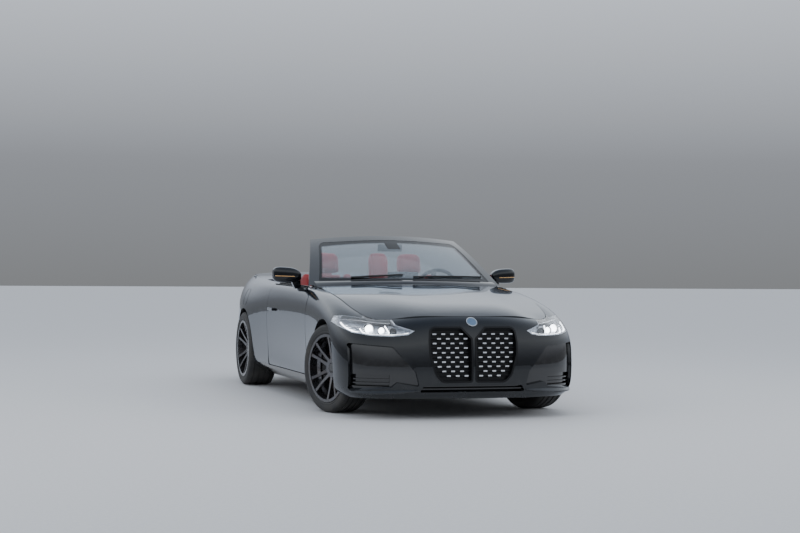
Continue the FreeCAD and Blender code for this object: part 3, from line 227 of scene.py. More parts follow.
def grille_black():
    """Satin black with less sheen than the panels, so the studs stand out from it."""
    f = Finish("grille_black", (0.004, 0.004, 0.005), 0.34, specular_ior_level=0.22)
    f.worn(f.noise(420.0, 3.0), (0.003, 0.003, 0.004), (0.008, 0.008, 0.009), 0.30, 0.12)
    return f.bump(f.cells(900.0), 0.00008, 0.4).material


def bright_metal(name="bright_studs", colour=(0.80, 0.81, 0.83), roughness=0.16):
    """Bare metal with a faint uneven haze."""
    f = Finish(name, colour, roughness, metallic=1.0)
    haze = f.noise(60.0, 5.0).within(0.3, 0.8)
    f.worn(haze, colour, tuple(c * 0.72 for c in colour), roughness, 0.14, 0.4)
    return f.bump(f.noise(420.0, 2.0), 0.00002, 0.3).material


def cast_iron():
    """Rough cast arms with grime and a little rust."""
    colour = (0.12, 0.12, 0.125)
    f = Finish("cast_arms", colour, 0.55, metallic=0.6)
    grime = f.noise(9.0, 7.0).within(0.35, 0.7)
    rust = f.noise(31.0, 8.0).within(0.58, 0.75)
    base = f.mix(grime, colour, tuple(c * 0.4 for c in colour))
    f.set("Base Color", f.mix(rust * 0.35, base, (0.12, 0.055, 0.03)))
    f.set("Roughness", 0.5 + grime * 0.3)
    return f.bump(f.noise(380.0, 4.0), 0.0004, 0.5).material


def floor_pan():
    """Sealed and painted underbody steel, sprayed with stone-chip coat."""
    f = Finish("floor_pan", (0.035, 0.035, 0.038), 0.7)
    grime = f.noise(5.0, 7.0).within(0.3, 0.75)
    f.worn(grime, (0.028, 0.028, 0.030), (0.070, 0.064, 0.056), 0.62, 0.25)
    return f.bump(f.noise(260.0, 5.0), 0.0008, 0.45).material


def brushed_steel():
    """Pipe steel, brushed round and browned by heat."""
    f = Finish("exhaust_steel", (0.46, 0.45, 0.43), 0.3, metallic=1.0)
    lines = f.noise(240.0, 3.0, where=f.stretched(1.0, 14.0, 1.0))
    heat = f.noise(4.0, 4.0).within(0.4, 0.7)
    f.set("Base Color", f.mix(heat, (0.52, 0.51, 0.49), (0.33, 0.27, 0.21)))
    f.set("Roughness", 0.24 + lines * 0.22)
    return f.bump(lines, 0.0001, 0.3).material


def disc_iron():
    """Turned cast iron with fine circular lines, a brown bloom and darker rims."""
    f = Finish("disc_iron", (0.40, 0.38, 0.36), 0.3, metallic=1.0)
    bloom = f.noise(12.0, 6.0).within(0.35, 0.7)
    f.set("Base Color", f.mix(bloom, (0.33, 0.27, 0.24), (0.16, 0.06, 0.045)))
    f.set("Roughness", 0.30 + f.noise(320.0, 3.0) * 0.25)
    return f.bump(f.noise(600.0, 3.0), 0.0001, 0.4).material


def rubber():
    """Tyre rubber with dry dust on it."""
    f = Finish("tyre_rubber", (0.016, 0.016, 0.017), 0.62)
    dust = f.noise(7.0, 6.0).within(0.35, 0.75)
    f.worn(dust, (0.014, 0.014, 0.015), (0.050, 0.047, 0.043), 0.55, 0.25)
    return f.bump(f.noise(700.0, 4.0), 0.00025, 0.5).material


def dark_alloy():
    """Dark painted alloy, a little paler where brake dust lies."""
    f = Finish("dark_alloy", (0.10, 0.10, 0.11), 0.25, metallic=0.9, coat_weight=0.5, coat_roughness=0.06)
    dust = f.noise(16.0, 6.0).within(0.4, 0.8)
    f.worn(dust, (0.11, 0.11, 0.12), (0.10, 0.075, 0.060), 0.22, 0.25, 0.5)
    return f.bump(f.noise(500.0, 2.0), 0.00004, 0.4).material


def clear_glass(name, tint):
    """Clear glass or plastic with a thin uneven film."""
    f = Finish(name, tint, 0.0, transmission_weight=1.0, ior=1.45)
    f.set("Roughness", f.noise(5.0, 5.0).within(0.45, 0.9) * 0.02)
    return f.material


# Outline of the windscreen from the front: half its width at a height, and the height of its bowed top edge
screen_half, screen_half_z, screen_narrowing = 0.755, 0.890, 0.4188
screen_top_z, screen_top_bow = 1.318, 0.103


def screen_film():
    """Laminated glass with a printed black border, dots along its foot and a patch for the sensor."""
    tint = (0.66, 0.76, 0.84)
    f = Finish("screen_glass", tint, 0.0, transmission_weight=0.945, ior=1.45)
    x, _, z = f.axes()
    side = (screen_half - (z - screen_half_z) * screen_narrowing - abs(x)).within(0.016, 0.030)
    top = (screen_top_z - x * x * screen_top_bow - z).within(0.026, 0.042)
    foot = z.within(0.990, 1.002)
    sensor = 1 - (abs(x) < 0.055) * (z > 1.235)
    dots = 1 - f.cells(150.0).within(0.35, 0.36) * (1 - (z - 1.0).within(0.0, 0.012)) * 0.5
    f.set("Base Color", f.mix(side * top * foot * sensor * dots, (0.004, 0.004, 0.005), tint))
    return f.material


def red_leather():
    """Grained leather: small pebbled cells, creases at a wider scale, and painted shade that darkens the
    hollows between the cells.
    """
    f = Finish("red_leather", (0.26, 0.012, 0.014), 0.42, coat_weight=0.12, coat_roughness=0.35)
    pebble = f.cells(520.0)
    crease = f.noise(38.0, 6.0)
    tone = f.noise(6.0, 4.0).within(0.3, 0.75)
    base = f.mix(tone, (0.25, 0.010, 0.013), (0.36, 0.022, 0.024))
    # Painted shade: the colour darkens towards the hollows between the pebbled cells
    f.set("Base Color", f.mix(pebble.within(0.5, 0.95) * 0.5, base, (0.11, 0.005, 0.007)))
    f.set("Roughness", 0.38 + crease * 0.16)
    return f.bump(1 - pebble + crease * 0.6, 0.00045, 0.55).material


def red_lens():
    """Red lamp cover with small moulded prisms."""
    f = Finish("red_lamp_lens", (0.30, 0.004, 0.006), 0.06, coat_weight=1.0, coat_roughness=0.02)
    x, _, z = f.axes()
    prisms = (abs((z * 260.0).fraction() - 0.5) + abs((x * 200.0).fraction() - 0.5)) * 0.5
    f.set("Base Color", f.mix(prisms, (0.40, 0.008, 0.010), (0.10, 0.002, 0.004)))
    return f.bump(prisms, 0.0006, 0.35).material


def lit(name, colour, glow, strength):
    """A lamp that is on: a clear cover over a glowing core, a little uneven as through moulded prisms."""
    f = Finish(name, colour, 0.15, emission_strength=strength)
    cells = f.cells(260.0).within(0.1, 0.8)
    f.set("Emission Color", f.mix(cells, glow, tuple(c * 0.82 for c in glow)))
    f.set("Base Color", f.mix(cells, colour, tuple(c * 0.8 for c in colour)))
    return f.bump(cells, 0.0002, 0.3).material


def badge_metal():
    """The plain disc in the badge place: satin blue-grey enamel, finely brushed."""
    f = Finish("badge_disc", (0.10, 0.17, 0.27), 0.28, metallic=0.8, coat_weight=0.8)
    brushed = f.noise(500.0, 2.0, where=f.stretched(1.0, 8.0, 8.0))
    f.worn(brushed, (0.10, 0.18, 0.30), (0.20, 0.28, 0.38), 0.22, 0.15)
    return f.bump(brushed, 0.00003, 0.3).material


PAINT = gloss_paint()
PIANO = piano_black()
SATIN = moulded("satin_plastic", (0.014, 0.014, 0.015), 0.38, 900.0, 0.00008)
TRIM = moulded("soft_trim", (0.018, 0.018, 0.019), 0.62)
BRIGHT = bright_metal()
CHASSIS = floor_pan()
ARMS = cast_iron()
STEEL = brushed_steel()
ALLOY_CAST = bright_metal("cast_alloy", (0.42, 0.43, 0.44), 0.42)
DISC = disc_iron()
RUBBER = rubber()
RIM = dark_alloy()
SCREEN = screen_film()
LENS = clear_glass("lamp_glass", (0.97, 0.98, 1.0))
LEATHER = red_leather()
RED_LENS = red_lens()
LAMP_BODY = bright_metal("lamp_reflector", (0.62, 0.65, 0.70), 0.34)
LIT_UNIT = lit("lit_projector", (0.9, 0.93, 1.0), (0.93, 0.97, 1.0), 14.0)
LIT_BAR = lit("lit_bar", (0.9, 0.93, 1.0), (0.90, 0.95, 1.0), 8.0)
RUBBER_LIP = moulded("rubber_lip", (0.010, 0.010, 0.011), 0.55, 700.0, 0.00006)
CARPET = moulded("carpet", (0.022, 0.021, 0.022), 0.95, 330.0, 0.0020)
SATIN_METAL = bright_metal("satin_metal", (0.50, 0.51, 0.53), 0.34)
DARK_GLASS = piano_black("dark_glass")
GRILLE_BLACK = grille_black()
SIDE_GLASS = clear_glass("side_glass", (0.45, 0.52, 0.52))
RED_GLOW = lit("tail_guide", (0.45, 0.01, 0.01), (1.0, 0.03, 0.02), 0.35)
AMBER = lit("indicator", (0.65, 0.38, 0.16), (1.0, 0.45, 0.08), 0.05)
BADGE = badge_metal()
MIRROR_GLASS = bright_metal("mirror_silver", (0.86, 0.88, 0.90), 0.02)

BY_SLOT = {
    "paint": PAINT, "black_plastic": PIANO, "bright_studs": BRIGHT, "lamp_body": LAMP_BODY,
    "lamp_glass": LENS, "red_lamp": RED_LENS, "screen_glass": SCREEN, "screen_frame": PIANO,
    "chassis": CHASSIS, "suspension": ARMS, "exhaust_steel": STEEL, "engine_block": ALLOY_CAST,
    "trim": TRIM, "red_leather": LEATHER, "tyre": RUBBER, "rim": RIM, "disc": DISC,
}


def dress_nodes():
    """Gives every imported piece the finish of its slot, and the grille its own black."""
    for row in frame["record"]["subparts"]:
        mesh = NODES[row["node"]].data
        mesh.materials.clear()
        mesh.materials.append(BY_SLOT[row["material_slot"]])
    for name in ("grille_frames", "grille_mesh"):
        NODES[name].data.materials[0] = GRILLE_BLACK


dress_nodes()


# Mesh helpers. Every piece is made at its place, in metres.
def in_scene(name, data):
    thing = bpy.data.objects.new(name, data)
    bpy.context.scene.collection.objects.link(thing)
    return thing


def finished(name, made, material, slot, body="root", stands_for=(), sharp=40.0):
    """Turns a bmesh into a piece with a finish and the body it rides on; the slot is not used."""
    mesh = bpy.data.meshes.new(name)
    bmesh.ops.recalc_face_normals(made, faces=made.faces[:])
    inside_out = made.calc_volume(signed=True) < 0
    if inside_out:
        bmesh.ops.reverse_faces(made, faces=made.faces[:])
    made.to_mesh(mesh)
    made.free()
    mesh.shade_smooth()
    mesh.set_sharp_from_angle(angle=math.radians(sharp))
    mesh.materials.append(material)
    thing = in_scene(name, mesh)
    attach(thing, body)
    if stands_for:
        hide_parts(*stands_for)


def spread(low, high, count):
    """Evenly spaced numbers from low to high."""
    return [low + (high - low) * k / (count - 1) for k in range(count)]


def skin_rings(made, rings, closed_ring=True, closed_run=False):
    """Quads between rings of points that have the same count."""
    rows = [[made.verts.new(p) for p in ring] for ring in rings]
    pairs = list(zip(rows, rows[1:])) + ([(rows[-1], rows[0])] if closed_run else [])
    for a, b in pairs:
        n = len(a)
        for i in range(n if closed_ring else n - 1):
            j = (i + 1) % n
            made.faces.new((a[i], a[j], b[j], b[i]))
    if closed_ring and not closed_run:
        made.faces.new(rows[0])
        made.faces.new(rows[-1])


def away_from(axis):
    """A function that gives the direction away from an axis at an angle round it."""
    side = axis.orthogonal().normalized()
    other = axis.cross(side)
    return lambda turn: side * math.cos(turn) + other * math.sin(turn)


def turned(made, profile, centre, axis, steps=48, closed=True):
    """Points of (along the axis, radius) turned round the axis."""
    axis = Vector(axis).normalized()
    away = away_from(axis)
    rings = []
    for k in range(steps):
        out = away(2 * math.pi * k / steps)
        rings.append([Vector(centre) + axis * s + out * r for s, r in profile])
    skin_rings(made, rings, closed_ring=closed, closed_run=True)


def dome(made, profile, centre, axis, steps=40):
    """A turned shape whose profile starts and ends on the axis."""
    turned(made, profile, centre, axis, steps, closed=False)


def smooth_path(points, steps):
    """A curve through the points, with this many places between each two."""
    points = [Vector(p) for p in points]
    path = []
    for i in range(len(points) - 1):
        p0, p1, p2, p3 = points[max(i - 1, 0)], points[i], points[i + 1], points[min(i + 2, len(points) - 1)]
        for k in range(steps):
            t = k / steps
            path.append(0.5 * (2 * p1 + (p2 - p0) * t + (2 * p0 - 5 * p1 + 4 * p2 - p3) * t * t
                               + (3 * p1 - p0 - 3 * p2 + p3) * t * t * t))
    return path + [points[-1]]


def swept(made, path, section, up=UP):
    """A section of (sideways, upward) points carried along a path, always the same way up."""
    rings = []
    last = len(path) - 1
    for i, place in enumerate(path):
        along = (path[min(i + 1, last)] - path[max(i - 1, 0)]).normalized()
        side = along.cross(Vector(up)).normalized()
        above = side.cross(along)
        rings.append([place + side * a + above * b for a, b in section])
    skin_rings(made, rings)


def bead(made, points, steps, radius, count=8, flat=1.0, up=UP):
    """A round or flattened bead along a smooth curve through the points."""
    turns = [2 * math.pi * k / count for k in range(count)]
    ring = [(radius * math.cos(a), radius * flat * math.sin(a)) for a in turns]
    swept(made, smooth_path(points, steps), ring, up)


def blade_section(foot, tip, high):
    """A flat section that thins from its foot to its tip, from half of each width and of the height."""
    return [(-foot, -high), (foot, -high), (tip, high), (-tip, high)]


def moved(x, y, z):
    return Matrix.Translation((x, y, z))


def rounded_block(size, radius, cuts, place=(0, 0, 0)):
    """A closed block with round edges, fine enough to be bent into shape."""
    made = bmesh.new()
    bmesh.ops.create_cube(made, size=2.0)
    bmesh.ops.subdivide_edges(made, edges=made.edges[:], cuts=cuts, use_grid_fill=True)
    half = Vector(size) / 2
    for vertex in made.verts:
        p = Vector([c * h for c, h in zip(vertex.co, half)])
        core = Vector([max(radius - h, min(h - radius, c)) for c, h in zip(p, half)])
        vertex.co = core + (p - core).normalized() * radius + Vector(place)
    return made


def mirrored(made):
    """A copy of a bmesh on the other side of the car."""
    other = made.copy()
    for vertex in other.verts:
        vertex.co.x = -vertex.co.x
    return other


def on_both_sides(name, make, material, slot):
    """The left piece and its mirror image."""
    left = make()
    right = mirrored(left)
    finished(name + "_left", left, material, slot)
    finished(name + "_right", right, material, slot)


TREES = {}


def surface_hit(node, start, way):
    """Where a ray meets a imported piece, and the outward direction there."""
    if node not in TREES:
        mesh = NODES[node].data
        corners = [v.co.copy() for v in mesh.vertices]
        TREES[node] = BVHTree.FromPolygons(corners, [tuple(p.vertices) for p in mesh.polygons])
    place, normal, _, _ = TREES[node].ray_cast(Vector(start), Vector(way))
    if place is None:
        return None, None
    return place, normal if normal.dot(Vector(way)) < 0 else -normal


def laid_line(node, starts, way, lift):
    """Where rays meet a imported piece, moved outward by lift. A ray that misses leaves no point."""
    hits = [surface_hit(node, start, way) for start in starts]
    return [place + normal * lift for place, normal in hits if place is not None]


def from_ahead(node, x, z):
    """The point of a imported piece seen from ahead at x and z, and the outward direction there."""
    place, normal = surface_hit(node, (x, -3.0, z), -AHEAD)
    if place is None:
        raise ValueError("nothing of %s lies at x %.3f, z %.3f" % (node, x, z))
    return place, normal


JOINTS = {j["name"]: j for j in frame["record"]["behaviour"]["joints"]}


def axis_of(joint):
    return Vector(JOINTS[joint]["axis"]).normalized()


def middle_of(node):
    """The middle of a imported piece's box."""
    low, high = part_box(node)
    return (Vector(low) + Vector(high)) / 2


# Tyres with a tread and a raised sidewall
# Grooves of the tread: place as a share of the tyre's width, and half width
TREAD_GROOVES = [(-0.30, 0.0045), (-0.10, 0.0055), (0.10, 0.0055), (0.30, 0.0045)]
groove_slope = 0.001
tread_depth, tread_blocks, tread_slant = 0.007, 96, 14.0
# The blocks of the shoulders: where they start across and down the tyre, and the depth of their cuts
shoulder_start, shoulder_height, shoulder_cut = 0.66, 0.012, 0.0049
bead_radius = 0.241
tyre_radius = 0.331
TYRE_HALF = {"front": 0.1125, "rear": 0.1275}


def sidewall(half):
    """A tyre's outside from its bead to its tread, as (across, radius) points."""
    lower = [
        (0.013, 0.001), (0.013, 0.012), (0.010, 0.015), (0.002, 0.026), (0.0012, 0.030),
        (0.003, 0.034), (0.0005, 0.042), (0.0, 0.050), (0.002, 0.058), (0.0016, 0.066),
    ]
    shoulder = [(0.006, 0.016), (0.012, 0.008), (0.022, 0.002)]
    points = [(half - inward, bead_radius + out) for inward, out in lower]
    return points + [(half - inward, tyre_radius - down) for inward, down in shoulder]


def tread_points(half):
    """The tread from one shoulder to the other, with its round grooves."""
    floor = tyre_radius - tread_depth
    points = []
    for share, wide in TREAD_GROOVES:
        middle = share * 2 * half
        points += [(middle - wide - groove_slope, tyre_radius), (middle - wide, floor)]
        points += [(middle + wide, floor), (middle + wide + groove_slope, tyre_radius)]
    return points


def make_tyre(half, centre, axis):
    """A tyre turned round its axis. One step in three is cut into the shoulders, in turn on each side."""
    side = sidewall(half)
    profile = [(-a, r) for a, r in side] + tread_points(half) + side[::-1]
    away = away_from(axis)
    steps = tread_blocks * 3
    rings = []
    for k in range(steps):
        ring = []
        for a, r in profile:
            on_shoulder = abs(a) > half * shoulder_start and r > tyre_radius - shoulder_height
            step = k + 1 if a > 0 else k
            if on_shoulder and step % 3 == 0:
                r -= shoulder_cut
            ring.append(centre + axis * a + away(2 * math.pi * (k + a * tread_slant) / steps) * r)
        rings.append(ring)
    made = bmesh.new()
    skin_rings(made, rings, closed_ring=False, closed_run=True)
    return made


# Profiles of (along the axle, radius): cap and bolts from the rim's face, the valve stem from the tyre's side
WHEEL_CAP = [
    (-0.010, 0.0), (-0.010, 0.0335), (0.0015, 0.0335), (0.0035, 0.031), (0.0028, 0.026), (0.0034, 0.012),
    (0.0036, 0.0),
]
WHEEL_BOLT = [(-0.013, 0.0), (-0.013, 0.0085), (-0.003, 0.0085), (-0.001, 0.0051), (0.0, 0.0)]
VALVE_STEM = [(-0.060, 0.0), (-0.060, 0.004), (-0.034, 0.004), (-0.033, 0.0028), (-0.030, 0.0)]
rim_face_inset = 0.054
bolt_count, bolt_ring, valve_ring = 5, 0.056, 0.213


def moved_out(profile, distance):
    return [(a + distance, r) for a, r in profile]


def dress_wheels():
    """Treaded tyres, plain caps, hexagon bolts and valve stems."""
    for end, half in TYRE_HALF.items():
        for side, way in SIDES:
            wheel = "%s_%s" % (end, side)
            body = "wheel_" + wheel
            outward = axis_of(body + "_spin") * way
            centre = middle_of("tyre_" + wheel)
            tyre = make_tyre(half, centre, outward)
            finished("road_tyre_" + wheel, tyre, RUBBER, "tyre", body, ["tyre_" + wheel], sharp=35.0)
            face = half - rim_face_inset
            made = bmesh.new()
            dome(made, moved_out(WHEEL_CAP, face), centre, outward)
            finished("wheel_cap_" + wheel, made, PIANO, "rim", body)
            made = bmesh.new()
            away = away_from(outward)
            for k in range(bolt_count):
                spot = centre + away(2 * math.pi * (k + 0.5) / bolt_count) * bolt_ring
                dome(made, moved_out(WHEEL_BOLT, face), spot, outward, 6)
            dome(made, moved_out(VALVE_STEM, half), centre + away(0.0) * valve_ring, outward, 12)
            finished("wheel_bolts_" + wheel, made, BRIGHT, "bright_studs", body)


def ray_grid(node, starts, way):
    """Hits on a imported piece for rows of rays."""
    grid = [[surface_hit(node, start, way) for start in row] for row in starts]
    if any(place is None for row in grid for place, _ in row):
        raise ValueError("a ray of the grid misses " + node)
    return grid


def cabin_grid(node, window, columns, rows, way):
    """Hits from the cabin over a window of (y, y, z, z) on the side that way points to."""
    y0, y1, z0, z1 = window
    starts = [[(0.0, y, z) for y in spread(y0, y1, columns)] for z in spread(z0, z1, rows)]
    return ray_grid(node, starts, (way, 0, 0))


def rear_grid(node, window, columns, rows, start=3.0):
    """Hits from behind over a window of (x, x, z, z)."""
    x0, x1, z0, z1 = window
    starts = [[(x, start, z) for x in spread(x0, x1, columns)] for z in spread(z0, z1, rows)]
    return ray_grid(node, starts, AHEAD)


def laid_panel(hits, height, edge):
    """A closed thin pad over a grid of hits. It falls to its rim over the edge, a share of its width."""
    under_side, rim = 0.0006, 0.001
    made = bmesh.new()
    rows, columns = len(hits), len(hits[0])
    front, under = {}, {}
    for i, row in enumerate(hits):
        for j, (place, normal) in enumerate(row):
            u, v = j / (columns - 1), i / (rows - 1)
            near = min(1.0, min(u, 1 - u, v, 1 - v) / edge)
            lift = rim + (height - rim) * math.sqrt(1 - (1 - near) ** 2)
            front[i, j] = made.verts.new(place + normal * lift)
            under[i, j] = made.verts.new(place + normal * under_side)
    for i in range(rows - 1):
        for j in range(columns - 1):
            made.faces.new((front[i, j], front[i, j + 1], front[i + 1, j + 1], front[i + 1, j]))
            made.faces.new((under[i, j], under[i + 1, j], under[i + 1, j + 1], under[i, j + 1]))
    border = [(0, j) for j in range(columns)] + [(i, columns - 1) for i in range(1, rows)]
    border += [(rows - 1, j) for j in range(columns - 2, -1, -1)] + [(i, 0) for i in range(rows - 2, 0, -1)]
    for a, b in zip(border, border[1:] + border[:1]):
        made.faces.new((front[a], under[a], under[b], front[b]))
    return made


# Headlamp units. Columns: x, z, radius, whether the unit is lit
LAMP_UNITS = [(0.577, 0.640, 0.021, False), (0.648, 0.650, 0.022, True), (0.722, 0.662, 0.030, True)]
# The running light: a bar along the lower edge that hooks up at its outer end, and two short ones
LAMP_BARS = [
    [(0.462, 0.625), (0.520, 0.615), (0.586, 0.610), (0.655, 0.611), (0.722, 0.614), (0.766, 0.627),
     (0.778, 0.655)],
    [(0.800, 0.626), (0.835, 0.640), (0.862, 0.662), (0.872, 0.690)],
    [(0.604, 0.626), (0.610, 0.650), (0.618, 0.676)],
]
LAMP_BROW = [(0.575, 0.699), (0.620, 0.701), (0.680, 0.706), (0.740, 0.714), (0.800, 0.718), (0.860, 0.718)]
lamp_unit_depth, lamp_bar_depth, lamp_brow_depth, lamp_fin_depth = 0.026, 0.016, 0.020, 0.034


def behind_lens(x, z, depth):
    place, normal = from_ahead("headlamp_lenses", x, z)
    return place - normal * depth


def lamp_unit_bezels():
    made = bmesh.new()
    for x, z, radius, _ in LAMP_UNITS:
        profile = [
            (-0.022, radius + 0.004), (-0.002, radius + 0.008), (0.002, radius + 0.007),
            (0.001, radius + 0.002), (-0.006, radius), (-0.022, radius - 0.002),
        ]
        turned(made, profile, behind_lens(x, z, lamp_unit_depth), AHEAD, 40)
    return made


def lamp_unit_lenses(on):
    """The domed lenses of the units that are lit, or of those that aren't."""
    made = bmesh.new()
    for x, z, radius, shining in LAMP_UNITS:
        if shining == on:
            wide = radius * 0.98
            profile = [(-0.016, 0.0), (-0.016, wide)]
            for turn in (1.57, 1.2, 0.8, 0.4, 0.0):
                profile.append((-0.012 + 0.010 * math.cos(turn), wide * math.sin(turn)))
            dome(made, profile, behind_lens(x, z, lamp_unit_depth), AHEAD)
    return made


def lamp_bars():
    made = bmesh.new()
    for points in LAMP_BARS:
        bead(made, [behind_lens(x, z, lamp_bar_depth) for x, z in points], 5, 0.0046, 10, up=AHEAD)
    return made


def lamp_fins():
    """Bright stepped fins outside the units, and a brow along the top."""
    made = bmesh.new()
    path = smooth_path([behind_lens(x, z, lamp_brow_depth) for x, z in LAMP_BROW], 5)
    swept(made, path, blade_section(0.003, 0.002, 0.006), up=AHEAD)
    for z in spread(0.632, 0.684, 5):
        places = [(x, z + 0.004 * (x - 0.78)) for x in (0.750, 0.785, 0.820, 0.850)]
        path = smooth_path([behind_lens(x, height, lamp_fin_depth) for x, height in places], 3)
        swept(made, path, blade_section(0.0015, 0.0015, 0.008), up=AHEAD)
    return made


def dress_headlamps():
    on_both_sides("lamp_bezels", lamp_unit_bezels, PIANO, "lamp_body")
    on_both_sides("lamp_projectors", lambda: lamp_unit_lenses(True), LIT_UNIT, "lamp_glass")
    on_both_sides("lamp_dark_projectors", lambda: lamp_unit_lenses(False), DARK_GLASS, "lamp_glass")
    on_both_sides("lamp_light_bars", lamp_bars, LIT_BAR, "lamp_glass")
    on_both_sides("lamp_fins", lamp_fins, BRIGHT, "bright_studs")


# Badge place: a plain disc in a thin ring on the nose
BADGE_RING = [(0.0005, 0.037), (0.0005, 0.041), (0.0035, 0.0405), (0.0042, 0.039), (0.0034, 0.037)]
BADGE_DISC = [(0.0006, 0.0), (0.0006, 0.0368), (0.0026, 0.0368), (0.0038, 0.0246), (0.0042, 0.0)]


def dress_badge():
    place, normal = from_ahead("front_bumper", 0.0, 0.700)
    made = bmesh.new()
    turned(made, BADGE_RING, place, normal, 56)
    finished("badge_ring", made, BRIGHT, "bright_studs")
    made = bmesh.new()
    dome(made, BADGE_DISC, place, normal, 56)
    finished("badge_disc", made, BADGE, "bright_studs")


def dress_mirrors():
    """Door mirrors: the glass that looks back and an indicator along the cap."""
    for side, way in SIDES:
        node, body = "mirror_" + side, "door_" + side
        columns = []
        for u in spread(0.0, 1.0, 15):
            columns.append((way * (0.862 + 0.150 * u), 0.030 + 0.010 * math.sin(math.pi * u)))
        starts = [[(x, 0.2, 1.018 + v * half) for x, half in columns] for v in spread(-1.0, 1.0, 9)]
        glass = laid_panel(ray_grid(node, starts, AHEAD), 0.0022, 0.08)
        finished("mirror_glass_" + side, glass, MIRROR_GLASS, "bright_studs", body)
        starts = [(way * (0.880 + 0.150 * t), -1.2, 1.004 + 0.004 * t) for t in spread(0.0, 1.0, 9)]
        made = bmesh.new()
        bead(made, laid_line(node, starts, -AHEAD, 0.0012), 3, 0.0028)
        finished("mirror_indicator_" + side, made, AMBER, "lamp_glass", body)


# Soft seats: each pad is a crowned block, swollen by a cloth simulation, then pressed in along its seams
cloth_pressure, cloth_frames = 4.0, 20
# Edges of leather that fold by less than this many degrees are shaded smooth
leather_fold = 70.0
# How far the seats stand from the car's middle, and how many degrees their backs and heads lean
seat_x, seat_lean, seat_head_lean = 0.375, 18, 10
bench_x, bench_head_x, bench_lean, bench_head_lean = 0.312, 0.265, 12, 8


def puffed(made, cap, voxel):
    """Swells a closed bmesh as padded cloth would, and keeps each point within cap of its start."""
    mesh = bpy.data.meshes.new("pad_start")
    made.to_mesh(mesh)
    made.free()
    pad = in_scene("pad_start", mesh)
    bpy.context.view_layer.objects.active = pad
    remesh = pad.modifiers.new("even", "REMESH")
    remesh.mode = "VOXEL"
    remesh.voxel_size = voxel
    graph = bpy.context.evaluated_depsgraph_get()
    start = bpy.data.meshes.new_from_object(pad.evaluated_get(graph))
    pad.modifiers.clear()
    pad.data = start
    swollen = start
    cloth = pad.modifiers.new("swell", "CLOTH")
    cloth.settings.use_pressure = True
    cloth.settings.uniform_pressure_force = cloth_pressure
    cloth.settings.effector_weights.gravity = 0.0
    cloth.settings.quality = 4
    for frame_number in range(1, cloth_frames + 1):
        bpy.context.scene.frame_set(frame_number)
    graph = bpy.context.evaluated_depsgraph_get()
    swollen = bpy.data.meshes.new_from_object(pad.evaluated_get(graph))
    for vertex, before in zip(swollen.vertices, start.vertices):
        shift = vertex.co - before.co
        if shift.length > cap:
            vertex.co = before.co + shift.normalized() * cap
    bpy.context.scene.frame_set(1)
    made = bmesh.new()
    made.from_mesh(swollen)
    bpy.data.objects.remove(pad)
    return made


def crowned(width, depth, height, crown, radius=0.035):
    """A pad whose top is crowned and whose sides pull in between its corners. Its base is flat."""
    waist, foot = 0.009, 0.4
    made = rounded_block((width, depth, height), radius, 14)
    for vertex in made.verts:
        u, v, w = (2 * c / size for c, size in zip(vertex.co, (width, depth, height)))
        if w > -foot:
            vertex.co.z += crown * (1 - u * u) * (1 - v * v) * (w + foot) / (1 + foot)
        vertex.co.x -= waist * width * u * (1 - min(1.0, v * v))
        vertex.co.y -= waist * depth * v * (1 - min(1.0, u * u))
    return made


def press_seams(made, seams, depth, width):
    """Presses sewn channels into the upper face. Each seam is a function of (x, y) that is 0 along it."""
    made.normal_update()
    for vertex in made.verts:
        if vertex.normal.z > 0.25:
            for seam in seams:
                distance = seam(vertex.co.x, vertex.co.y)
                vertex.co.z -= depth * math.exp(-(distance / width) ** 2) * vertex.normal.z


def seams_across(*places):
    return [lambda x, y, at=at: y - at for at in places]


def seams_along(*places):
    return [lambda x, y, at=at: x - at for at in places]


def sewn_pad(name, size, crown, places, stands_for, cap=0.010, bend=None, seams=(), press=(0.006, 0.006),
             voxel=0.008, **shape):
    """Makes one pad and puts a copy of it at each place, given as (suffix, matrix)."""
    pad = crowned(*size, crown, **shape)
    if bend:
        for vertex in pad.verts:
            bend(vertex.co)
    pad = puffed(pad, cap, voxel)
    press_seams(pad, seams, *press)
    for suffix, matrix in places:
        copy = pad.copy()
        copy.transform(matrix)
        finished(name + suffix, copy, LEATHER, "red_leather", "root", [stands_for], leather_fold)
    pad.free()


def lean(y, z, degrees):
    """Stands a pad up on the car's middle: its face looks ahead, and it leans back by the angle."""
    return moved(0, y, z) @ Matrix.Rotation(math.radians(90 - degrees), 4, "X")


def left_and_right(x, stand):
    """Places of a pad on both sides of the car."""
    return [("_left", moved(x, 0, 0) @ stand), ("_right", moved(-x, 0, 0) @ stand)]


def seat_edges(stand, aside, tilt):
    """Places of a pad along both edges of each front seat, tilted toward its middle."""
    places = []
    for side, seat in left_and_right(seat_x, stand):
        for edge, way in (("_outer", 1), ("_inner", -1)):
            turn = Matrix.Rotation(way * -tilt, 4, "Y")
            places.append((side + edge, seat @ moved(way * aside, 0, 0) @ turn))
    return places


def bend_bolster(point):
    point.z *= 1.0 - 0.10 * (point.y / 0.25)


def bend_wing(point):
    point.x *= 1.0 - 0.12 * max(0.0, point.y / 0.3)


def bend_seat_head(point):
    high = max(0.0, point.y / 0.088)
    point.x *= 0.96 - 0.26 * high ** 3
    point.z -= 0.010 * high ** 2


def bend_bench_head(point):
    high = max(0.0, point.y / 0.159)
    point.x *= 1.0 - 0.36 * high ** 4
    point.z -= 0.010 * high ** 2


